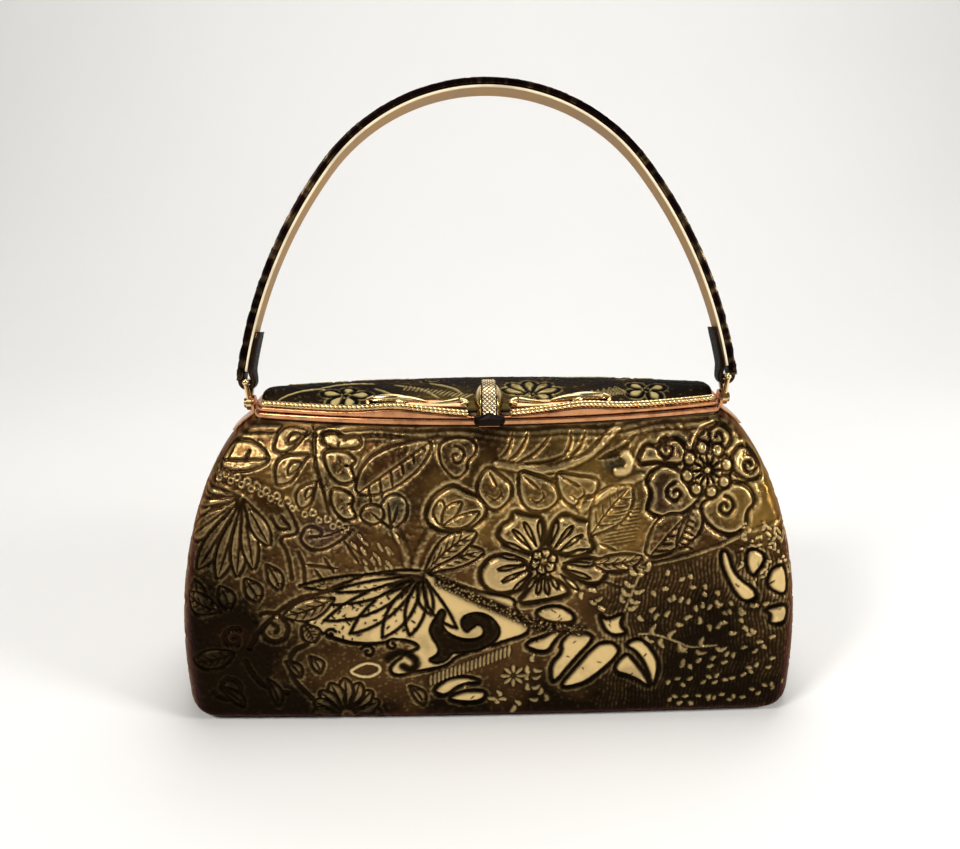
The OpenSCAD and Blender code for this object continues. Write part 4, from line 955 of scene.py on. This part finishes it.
def turned_over():
    """Joins the active cloth's edges that meet and turns its right side about."""
    bpy.ops.object.mode_set(mode="EDIT")
    bpy.ops.mesh.select_all(action="SELECT")
    bpy.ops.mesh.remove_doubles(threshold=1e-6)
    bpy.ops.mesh.flip_normals()
    bpy.ops.object.mode_set(mode="OBJECT")


lining_in, lining_floor, lining_top = 4.2, 5.0, 122.0
lining, u, v = grid("lining_cloth", 300, 110)
climb = np.clip((v - 0.3) / 0.7, 0, 1)
height = lining_floor + (lining_top - lining_floor) * climb
half_long, half_deep, end_deep, cap = body_outline(height)
inner = np.maximum(cap - 2, 1.5)
edge_x, edge_y = plan_edge(u, half_long - lining_in, half_deep - lining_in, end_deep - lining_in, inner)
slack = 0.25 * np.sin(edge_x / 9.0 + 2.0 * np.sin(height / 23.0)) * np.clip(climb * 8, 0,
                                                                            1) * np.clip((1 - climb) * 8, 0,
                                                                                         1)
shrink = np.clip(v / 0.3, 0, 1) * (1 - np.abs(slack) * 0.006)
placed(lining, edge_x * shrink, edge_y * shrink, height)
turned_over()
lining.data.materials.append(twill)
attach(lining, "bag")
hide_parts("lining")


# Mouth frame: a rolled rose-gold rail round the mouth, with a lip that grips the leather's top edge.
# End plates, catch and hinge leaves are small pressings in the same rose plating; pins and links are gold.
scuffs = shared_nodes("metal_scuffs", "Tone", "Scratch")
spot = add_node(scuffs, "ShaderNodeTexCoord").outputs["Object"]
stretched = add_node(scuffs, "ShaderNodeMapping",
                     {"Vector": spot, "Scale": (120.0, 900.0, 900.0)}).outputs[0]
drawn = add_node(scuffs, "ShaderNodeTexNoise",
                 {"Vector": stretched, "Scale": 1.0, "Detail": 4.0}).outputs[0]
tarnish = noise(scuffs, 160.0, 5.0)
given = add_node(scuffs, "NodeGroupOutput")
scuffs.links.new(tarnish, given.inputs["Tone"])
scuffs.links.new(drawn, given.inputs["Scratch"])


def plated(name, bright, dull, rough):
    """Plated metal: polished, with darker tarnish in patches and fine drawn scratches."""
    made, tree, shader = new_material(name)
    marks = add_node(tree, "ShaderNodeGroup", node_tree=scuffs)
    tree.links.new(mixed(tree, between(tree, marks.outputs["Tone"], 0, 0.8, 0.45, 0.75), bright, dull),
                   shader.inputs["Base Color"])
    tree.links.new(between(tree, marks.outputs["Scratch"], rough - 0.06, rough + 0.1, 0.3, 0.7),
                   shader.inputs["Roughness"])
    shader.inputs["Metallic"].default_value = 1.0
    return made


rose = plated("rose_metal", colour(206, 148, 104), colour(138, 84, 54), 0.24)
gilt_metal = plated("gold_metal", colour(236, 208, 150), colour(186, 146, 84), 0.2)
rail_low, rail_high, rail_wide, lip_deep, lip_thick = 124.5, 127.0, 6.0, 4.0, 0.9


def swept_ring(name, outline, section):
    """A closed rail: a section of (inset, height) points carried round an outline."""
    section = np.array(section + section[:1], float)
    obj, u, v = grid(name, 320, len(section) * 4)
    spots = np.linspace(0, 1, len(section))
    inset, height = np.interp(v, spots, section[:, 0]), np.interp(v, spots, section[:, 1])
    half_long, half_deep, end_deep, cap = outline
    x, y = plan_edge(u, half_long - inset, half_deep - inset, np.maximum(end_deep - inset, 0.6),
                     np.maximum(cap - inset, 0.6))
    return obj, x, y, height


rail_section = [(0.0, 125.0), (0.0, 126.5), (0.3, 126.9), (0.9, rail_high), (rail_wide - 0.5, rail_high),
                (rail_wide, 126.7),
                (rail_wide, rail_low - lip_deep), (rail_wide - lip_thick, rail_low - lip_deep),
                (rail_wide - lip_thick, rail_low),
                (0.7, rail_low), (0.2, 124.7)]
mouth_frame, x, y, height = swept_ring("mouth_rail", (mouth_long, mouth_deep, mouth_end, mouth_cap),
                                       rail_section)
placed(mouth_frame, x, y, height, True)
mouth_frame.data.materials.append(rose)
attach(mouth_frame, "bag")
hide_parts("mouth_frame")
for node in ("end_plate_left", "end_plate_right", "clasp_catch", "hinge_leaf_body", "hinge_leaf_lid"):
    finished(node, rose)
for node in ("link_pin_left", "link_pin_right", "hinge_pin", "clasp_pin", "link_left", "link_right"):
    finished(node, gilt_metal)


# Lid rim: the rose-gold frame of the lid, pressed so that its front edge rises in a low wave
# on each side of the clasp. A thin flange under it covers the edge of the board.
lid_long, lid_deep, lid_end, lid_cap = 94.0, mouth_deep, 9.5, 4.0
rim_low, rim_top_z, rim_wide, flange_wide, flange_top = 127.3, 129.2, 2.2, 5.8, 127.42


def rim_top(x):
    """The height of the lid rim's front edge."""
    side = np.abs(x)
    fall = np.minimum(1, np.maximum(0, 1 - (side - 6.5) / 18.5) ** 1.5)
    return rim_top_z - 1.2 * fall + 1.6 * np.exp(-((side - 37) / 12) ** 2)


def lid_half(x, inset):
    """Half depth of the lid at a place along it."""
    half_long = lid_long - inset
    end = max(0.6, lid_end - inset)
    side = np.minimum(np.abs(x), half_long)
    over = np.clip((side - (half_long - lid_cap)) / lid_cap, 0, 1)
    return (end + (lid_deep - inset - end) * (1 - (side / half_long) ** 2)) * np.sqrt(1 - over ** 2)


rim_section = [(0.0, 127.7), (0.0, 128.8), (0.3, 129.1), (0.6, rim_top_z), (rim_wide, rim_top_z),
               (rim_wide, flange_top),
               (flange_wide, flange_top), (flange_wide, rim_low), (0.4, rim_low)]
lid_rim, x, y, height = swept_ring("lid_rim_rolled", (lid_long, lid_deep, lid_end, lid_cap), rim_section)
lift = np.where(y < 0, rim_top(x) - rim_top_z, 0) * np.clip((height - 127.7) / 1.1, 0, 1)
placed(lid_rim, x, y, height + lift, True)
lid_rim.data.materials.append(rose)
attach(lid_rim, "lid")
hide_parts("lid_rim")


# Lid lining: the same twill stretched over a thin card and set in under the lid.
card_in, card_low, card_high = 7.2, 126.55, 127.45
lid_cloth, u, v = grid("lid_lining_cloth", 240, 16)
edge_x, edge_y = plan_edge(u, mouth_long - card_in, mouth_deep - card_in, mouth_end - card_in, 0.8)
shrink = np.clip((1 - v) / 0.75, 0, 1)
edge_round = np.clip(v / 0.25, 0, 1)
placed(lid_cloth, edge_x * shrink, edge_y * shrink,
       card_low + (card_high - card_low) * (1 - edge_round) ** 2)
turned_over()
lid_cloth.data.materials.append(twill)
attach(lid_cloth, "lid")
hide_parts("lid_lining")


# Lid leather: a domed panel of the same hide let into the lid's rim, tooled with flowers and fine branches.
dome_in, dome_low, dome_z, dome_rise, dome_square = 2.0, 129.0, 129.8, 3.7, 60


def dome_swell(x, across):
    """How full the lid's dome is, from 0 at its edge to 1 on top, with across from -1 to 1."""
    along = np.clip(1 - (x / (lid_long - dome_in)) ** dome_square, 0, 1)
    return np.sqrt(along) * np.sqrt(np.clip(1 - across ** 2, 0, 1))


lid_sheet = Tooling((-92, -28), (92, 28))
for path in ([(-84, -9), (-76, -4), (-68, -1), (-64, -6), (-61, -14)], [(-68, -1), (-58, 5), (-46, 4)],
             [(-46, -2), (-38, -9), (-34, -14)], [(-38, 2), (-26, -4), (-20, -12)],
             [(-24, 4), (-14, -2), (-10, -10)],
             [(-82, 6), (-70, 10), (-52, 14), (-30, 12)], [(30, 12), (50, 14), (70, 10)]):
    lid_sheet.line(path, 1.3, -0.5, 0.9, 0.75, True)
for centre, petals, gold in (((-57, -8), ((-67, -5), (-47, -8), (-63, -15), (-54, -16), (-56, -1)), 0.9),
                             ((64, -6), ((56, -11), (58, 0), (72, -3), (68, -13)), 0.85),
                             ((17, -10), ((6, -4), (9, 3), (17, 6), (25, 3), (29, -4), (25, -13)), 0.35)):
    for tip in petals:
        lid_sheet.patch(leaf(centre, tip, 5.4, 0, 0.66), 0.4, 0.7, 0.8, 1.0, gold)
    lid_sheet.dots(ring_of(centre, 1.7, 7), 1.1, 0.5, 0.6)
for number in range(16):
    foot = np.array((38 + 1.2 * number, -14 + 0.3 * number))
    lid_sheet.line([foot, foot + (2.5 - 0.4 * number, 5 + number % 3)], 0.9, -0.4, 0.9, 0.45, True)
    foot = np.array((-10 - 1.6 * number, -13 + 0.6 * number))
    lid_sheet.line([foot, foot + (4 - 0.2 * number, 4)], 1.0, -0.4, 0.9, 0.3, True)
for centre, radius, hand in (((-22, 10), 7, 1), ((24, 12), 6, -1), ((-60, 12), 6, 1), ((56, 10), 6, -1)):
    lid_sheet.line(spiral(centre, radius, 1.3, 40, hand), 1.4, 0.5, 0.8)
lid_leather, u, v = grid("lid_leather_tooled", 400, 110)
x = (lid_long - dome_in) * np.sin(np.pi / 2 * (2 * u - 1))
across = np.sin(np.pi / 2 * (2 * v - 1))
y = across * lid_half(x, dome_in)
swell = dome_swell(x, across)
relief = (np.clip(lid_sheet.sampled(lid_sheet.height, x, y), -0.5, 0.9) * 0.8) * np.clip(swell * 3, 0, 1)
placed(lid_leather, x, y, dome_z + dome_rise * swell + relief)
dressed(lid_leather, lid_sheet, x, y,
        [(-14, -10, 18, 12, 0.5), (17, -8, 16, 12, 0.7), (75, -5, 16, 20, -0.5), (-70, 0, 20, 20, -0.4)],
        [])
applied(lid_leather, "SOLIDIFY", thickness=(dome_z - dome_low) * mm, offset=-1, use_rim_only=True)
lid_leather.data.materials.append(tooled_leather("lid_leather", colour(12, 8, 6), colour(44, 33, 21),
                                                 colour(104, 88, 46),
                                                 colour(196, 176, 118), shine=0.4,
                                                 edge_tint=colour(90, 70, 50)))
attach(lid_leather, "lid")
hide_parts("lid_leather")


# Rope trim: four gold wires twisted together and soldered along the lid rim,
# one length on each side of the clasp.
rope_start, rope_end, rope_pitch, strand_r, strand_off, rope_lift = 8.5, 90.5, 7.2, 0.5, 0.74, 1.3


def wire(name, paths, radii, sides=5):
    """Round wires along paths of points, made as one mesh, with one radius or one for each point."""
    shape = bpy.data.curves.new(name, "CURVE")
    shape.dimensions = "3D"
    shape.bevel_depth, shape.bevel_resolution, shape.use_fill_caps = mm, sides, True
    for path, radius in zip(paths, radii):
        line = shape.splines.new("POLY")
        line.points.add(len(path) - 1)
        line.points.foreach_set("co", np.hstack([np.array(path) * mm, np.ones((len(path), 1))]).ravel())
        line.points.foreach_set("radius", np.broadcast_to(radius, (len(path),)).astype(float))
    made = bpy.data.objects.new(name, shape)
    scene.collection.objects.link(made)
    bpy.ops.object.select_all(action="DESELECT")
    made.select_set(True)
    bpy.context.view_layer.objects.active = made
    bpy.ops.object.convert(target="MESH")
    made = bpy.context.object
    bpy.ops.object.shade_smooth()
    return made


for hand, side in ((-1, "left"), (1, "right")):
    along = np.linspace(rope_start, rope_end, 420)
    middle = np.stack([hand * along, -lid_half(along, 1.1), rim_top(along) + rope_lift], 1)
    strands = []
    for phase in np.arange(4) * math.pi / 2:
        turn = 2 * np.pi * along / rope_pitch + phase
        strands.append(middle + np.stack([0 * turn, strand_off * np.cos(turn),
                                          hand * strand_off * np.sin(turn)], 1))
    rope = wire("rope_trim_twisted_" + side, strands, [strand_r] * 4)
    rope.data.materials.append(gilt_metal)
    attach(rope, "lid")
    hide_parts("rope_trim_" + side)


# Flourish: a cast gold leaf scroll soldered to the lid behind each rope, curling over beside the clasp,
# with a thin rose-gold plate under it.
def on_dome(x, back, lift):
    """A point above the lid's dome, set back from its front edge."""
    half = lid_half(x, dome_in)
    y = -half + back
    return np.stack([x, y, dome_z + dome_rise * dome_swell(x, y / half) + lift], 1)


for hand, side in ((-1, "left"), (1, "right")):
    t = np.linspace(0, 1, 60)
    full = np.sin(np.pi * t) ** 0.7
    body = on_dome(hand * (24 + 22 * t), 2.6 + 1.4 * np.sin(np.pi * t), 0.9 + 0 * t)
    crest = on_dome(hand * (30 + 17 * t), 4.4 - 0.6 * t, 1.2 + 0.5 * np.sin(np.pi * t))
    hook = on_dome(hand * (45.5 + 2.6 * np.sin(0.8 * np.pi * t)), 4.0 - 2.8 * t, 1.2 - 0.5 * t)
    sprout = on_dome(hand * (38 - 5 * t), 3.2 - 1.6 * t, 1.0 + 0 * t)
    vine = on_dome(hand * (24 - 12 * t), 2.2 + 1.6 * t ** 2, 0.7 + 0.3 * t)
    curl = on_dome(hand * (11.0 - 2.2 * np.sin(np.pi * t)), 3.8 - 2.6 * t, 1.0 + 0 * t)
    flourish = wire("flourish_cast_" + side, [body, crest, hook, sprout, vine, curl],
                    [0.3 + 1.4 * full, 0.25 + 1.1 * full, 1.1 - 0.5 * t, 0.2 + 0.8 * full, 0.3 + 0.9 * t,
                     1.2 - 0.6 * t], 6)
    flourish.data.materials.append(gilt_metal)
    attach(flourish, "lid")
    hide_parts("flourish_" + side)
    crest_plate, u, v = grid("lid_crest_" + side, 60, 8)
    x = hand * (8.5 + 26 * u)
    placed(crest_plate, *on_dome(x, 0.6 + 3.4 * v * np.sin(np.pi * u) ** 0.7, 0.45 + 0.25 * v).T)
    applied(crest_plate, "SOLIDIFY", thickness=0.4 * mm)
    crest_plate.data.materials.append(rose)
    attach(crest_plate, "lid")


# Clasp housing: a spun and polished gold dome on the lid's front, slotted for the lever.
clasp_y, clasp_z, dome_r, dome_half, slot_half, housing_foot = -13.2, 129.4, 9.8, 6.2, 3.0, 127.45
housing, u, v = grid("clasp_dome", 60, 96)
share = np.abs(2 * u - 1)
lean = np.clip(share / 0.9, 0, 1) * np.pi / 2
x = np.sign(2 * u - 1) * dome_half * np.sin(lean)
radius = dome_r * np.cos(lean)
turn = np.radians(-11.5 + 203 * v)
inside_slot = np.abs(x) < slot_half
radius = np.where(inside_slot & (np.degrees(turn) > 24), np.minimum(radius, 7.4), radius)
y = clasp_y + radius * np.cos(turn)
z = np.maximum(clasp_z + radius * np.sin(turn), housing_foot)
placed(housing, x, y, z, True)
housing.data.materials.append(gilt_metal)
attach(housing, "lid")
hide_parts("clasp_housing")


# Clasp lever: a curved tongue with a diamond-knurled face that the thumb pushes,
# turning on a pin through the dome.
lever_r, lever_half, lever_start, lever_end, knurl = 10.7, 2.7, 50.0, 186.0, 1.8
lever, u, v = grid("clasp_lever_knurled", 60, 220)
share = np.clip((2 * u - 1) / 0.8, -1, 1)
side = np.clip((np.abs(2 * u - 1) - 0.8) / 0.2, 0, 1)
run = lever_r * np.radians(lever_start + (lever_end - lever_start) * v)
x = lever_half * share


def points_of(t):
    """A row of pointed teeth, from 0 in a groove to 1 on a tip."""
    return 1 - np.abs(2 * (t - np.floor(t)) - 1)


teeth = np.minimum(points_of((x + run) / knurl),
                   points_of((x - run) / knurl)) * np.clip((1 - np.abs(share)) * 8, 0, 1)
radius = lever_r - 0.45 + 0.5 * teeth - 3.5 * side
placed(lever, x, clasp_y + radius * np.cos(run / lever_r), clasp_z + radius * np.sin(run / lever_r))
painted(lever, "tooth", teeth)
closed_up(lever)
knurled, tree, shader = new_material("knurled_gold")
tooth = add_node(tree, "ShaderNodeAttribute", attribute_name="tooth").outputs["Fac"]
marks = add_node(tree, "ShaderNodeGroup", node_tree=scuffs)
bright = mixed(tree, marks.outputs["Tone"], colour(255, 240, 204), colour(232, 206, 150))
# The knurl's grooves are painted near-black brown as painted shade in the recesses; the tips take a paler
# gold than the dome.
tree.links.new(mixed(tree, between(tree, tooth, 0, 1, 0.12, 0.4), colour(62, 40, 20), bright),
               shader.inputs["Base Color"])
tree.links.new(between(tree, marks.outputs["Scratch"], 0.24, 0.36), shader.inputs["Roughness"])
shader.inputs["Metallic"].default_value = 0.9
lever.data.materials.append(knurled)
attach(lever, "clasp")
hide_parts("clasp_lever")


# Clasp nose: a faceted block of dark smoky stone set under the lever, with a pointed crown on its face. Its
# near-black colour with almost no shine is also a painted reflection of dark surroundings.
dark_stone, tree, shader = new_material("dark_stone")
clouds = noise(tree, 350.0, 4.0)
tree.links.new(mixed(tree, clouds, colour(7, 4, 4), colour(30, 17, 12)), shader.inputs["Base Color"])
tree.links.new(between(tree, clouds, 0.12, 0.24), shader.inputs["Roughness"])
shader.inputs["Specular IOR Level"].default_value = 0.06
nose_z = 125.5
corners = []
for depth, wide in ((-24.0, 1.0), (-25.13, 1.0), (-27.4, 0.68)):
    rise = 0.0 if wide == 1.0 else 0.88
    high = 5.2 if wide == 1.0 else 3.85
    for hand in (-1, 1):
        corners += [(hand * 4.8 * wide, depth, nose_z + rise),
                    (hand * 6 * wide, depth, nose_z + rise + 1.2 * wide),
                    (hand * 6 * wide, depth, nose_z + rise + 3.4 * wide)]
    corners.append((0, depth, nose_z + high))
bpy.ops.object.select_all(action="DESELECT")
bpy.ops.mesh.primitive_uv_sphere_add(segments=16, ring_count=8, radius=mm)
nose = bpy.context.object
nose.name = nose.data.name = "clasp_nose_cut"
for number, vertex in enumerate(nose.data.vertices):
    vertex.co = Vector(corners[number % len(corners)]) * mm
bpy.ops.object.mode_set(mode="EDIT")
bpy.ops.mesh.select_all(action="SELECT")
bpy.ops.mesh.delete(type="ONLY_FACE")
bpy.ops.mesh.select_all(action="SELECT")
bpy.ops.mesh.remove_doubles(threshold=1e-6)
bpy.ops.mesh.convex_hull()
bpy.ops.object.mode_set(mode="OBJECT")
applied(nose, "BEVEL", width=0.22 * mm, segments=3, limit_method="ANGLE")
nose.data.materials.append(dark_stone)
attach(nose, "clasp")
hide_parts("clasp_nose")


# Handle: a padded strap of tooled hide, arching over the bag.
# Each foot thins, wraps the wire link's bar and folds up inside as a tab.
handle_lean, pivot_z = math.radians(15), 127.5
crown_r, crown_end, crown_h, foot_x, foot_h = 79.0, 52.5, 124.0, 98.85, 9.0
strap_thick, strap_wide, foot_wide = 3.0, 15.0, 9.5
side_out = foot_x - crown_r * math.sin(math.radians(crown_end))
side_down = crown_h - foot_h - crown_r * (1 - math.cos(math.radians(crown_end)))
foot_end = 2 * math.degrees(math.atan2(side_down, side_out)) - crown_end
side_r = side_out / (math.sin(math.radians(foot_end)) - math.sin(math.radians(crown_end)))


def arch(angle, out):
    """A point of the handle's inner face by its angle from the crown in degrees, moved out."""
    size, hand = np.abs(angle), np.sign(angle)
    bend = np.radians(np.minimum(size, crown_end))
    x = (crown_r + out) * np.sin(bend)
    height = crown_h - crown_r + (crown_r + out) * np.cos(bend)
    far = np.radians(np.maximum(size, crown_end))
    first = math.radians(crown_end)
    x = x + (side_r + out) * (np.sin(far) - math.sin(first))
    height = height + (side_r + out) * (np.cos(far) - math.cos(first))
    return hand * x, height


def in_handle(x, height, depth):
    """A point of the handle's own plane, leaned back as the handle rests."""
    return (x, height * math.sin(handle_lean) + depth * math.cos(handle_lean),
            pivot_z + height * math.cos(handle_lean) - depth * math.sin(handle_lean))


def strap_width(angle):
    """The strap's width, narrowing from the crown to the feet."""
    return strap_wide - (strap_wide - foot_wide) * (np.abs(angle) / foot_end) ** 1.6


def strap_section(v, square):
    """Points round a flat strap with rounded edges, from -1 to 1 both ways, and a circle's height."""
    across, up = np.cos(2 * np.pi * v), np.sin(2 * np.pi * v)
    scale = (np.abs(across) ** square + np.abs(up) ** square) ** (-1 / square)
    return across * scale, up * scale, up


strap_sheet = Tooling((-190, -9), (190, 9))
for number in range(-12, 13):
    middle = number * 14.0
    veined(strap_sheet, (middle - 6, 0), (middle + 5, 3.4), 4.6, 0.5, 0.55, 0.25, 3)
    veined(strap_sheet, (middle - 6, 0), (middle + 5, -3.4), 4.6, -0.5, 0.55, 0.25, 3)
    strap_sheet.dots([(middle - 7.5, 0)], 2.4, 0.6, 0.4)
handle, u, v = grid("handle_strap", 420, 64)
angle = foot_end * (2 * u - 1)
across, thick, up = strap_section(v, 5)
swell = 0.35 * (1 - across ** 2) * (up > 0)
sheet_x = np.sign(angle) * np.radians(np.minimum(np.abs(angle), crown_end)) * crown_r
sheet_x = sheet_x + np.sign(angle) * np.radians(np.maximum(np.abs(angle) - crown_end, 0)) * side_r
half = strap_width(angle) / 2
relief = strap_sheet.sampled(strap_sheet.height, sheet_x, across * half) * 0.6
out = strap_thick / 2 * (1 + thick) + (swell + np.clip(relief, -0.4, 0.5)) * np.clip(up * 2, 0, 1)
x, height = arch(angle, np.minimum(out, strap_thick + 0.7))
placed(handle, *in_handle(x, height, across * half))
dressed(handle, strap_sheet, sheet_x, across * half, [(0, 0, 900, 900, -0.1)], [])
closed_up(handle)
handle_hide = tooled_leather("handle_leather", colour(9, 6, 6), colour(34, 20, 18), colour(72, 46, 34),
                             colour(176, 146, 104), 1300.0, 0.2,
                             0.85, colour(60, 50, 44))
handle.data.materials.append(handle_hide)
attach(handle, "handle")
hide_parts("handle_leather")

fold_x, fold_h, fold_r, tab_thick, tab_long = 97.7, 8.8, 2.6, 2.0, 20.0
band_thick, band_gap = 1.2, 0.1
for hand, side in ((-1, "left"), (1, "right")):
    loop, u, v = grid("handle_tab_" + side, 90, 40)
    drop = np.clip(1 - u / 0.25, 0, 1) * 5
    fold = np.clip((u - 0.25) / 0.3, 0, 1) * np.pi
    rise = np.clip((u - 0.55) / 0.45, 0, 1) * tab_long
    across, thick, up = strap_section(v, 5)
    out = tab_thick / 2 * thick
    height = fold_h + drop + rise - (fold_r + out) * np.sin(fold)
    inner_x, inner_h = arch(np.linspace(foot_end, foot_end - 20, 60),
                            -band_gap - band_thick - tab_thick / 2)
    laid = np.clip(rise / 6, 0, 1) ** 2 * (3 - 2 * np.clip(rise / 6, 0, 1))
    up_side = np.interp(fold_h + rise, inner_h, inner_x) - out
    x = (fold_x + (fold_r + out) * np.cos(fold)) * (1 - laid) + up_side * laid
    half = np.interp(height, (5.4, 8.8, 12.0, 26.0, 29.0), (2.8, 3.6, 5.4, 5.4, 4.6))
    placed(loop, *in_handle(hand * x, height, across * half), True)
    plain_sheet(loop, -0.3, 0.0, 0.15)
    loop.data.materials.append(handle_hide)
    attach(loop, "handle")


# Handle band: a pale gold strap glued inside the arch; its cut edge shows as a bright line
# below the dark leather.
band, u, v = grid("handle_band_gold", 300, 64)
angle = (foot_end - 1.3) * (2 * u - 1)
across, thick, up = strap_section(v, 7)
x, height = arch(angle, -band_gap - band_thick / 2 * (1 - thick))
placed(band, *in_handle(x, height, across * (strap_width(angle) / 2 + 0.1)))
plain_sheet(band, 0.0, np.clip((np.abs(across) - 0.9) / 0.05, 0, 1), 0.0)
closed_up(band)
band.data.materials.append(tooled_leather("handle_band", colour(120, 90, 48), colour(168, 130, 72),
                                          colour(192, 154, 92),
                                          colour(250, 236, 204), 1500.0, 0.45, 0.2, colour(150, 120, 80)))
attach(band, "handle")
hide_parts("handle_band")


# Sizes: the box round the dressed parts.
low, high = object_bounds()
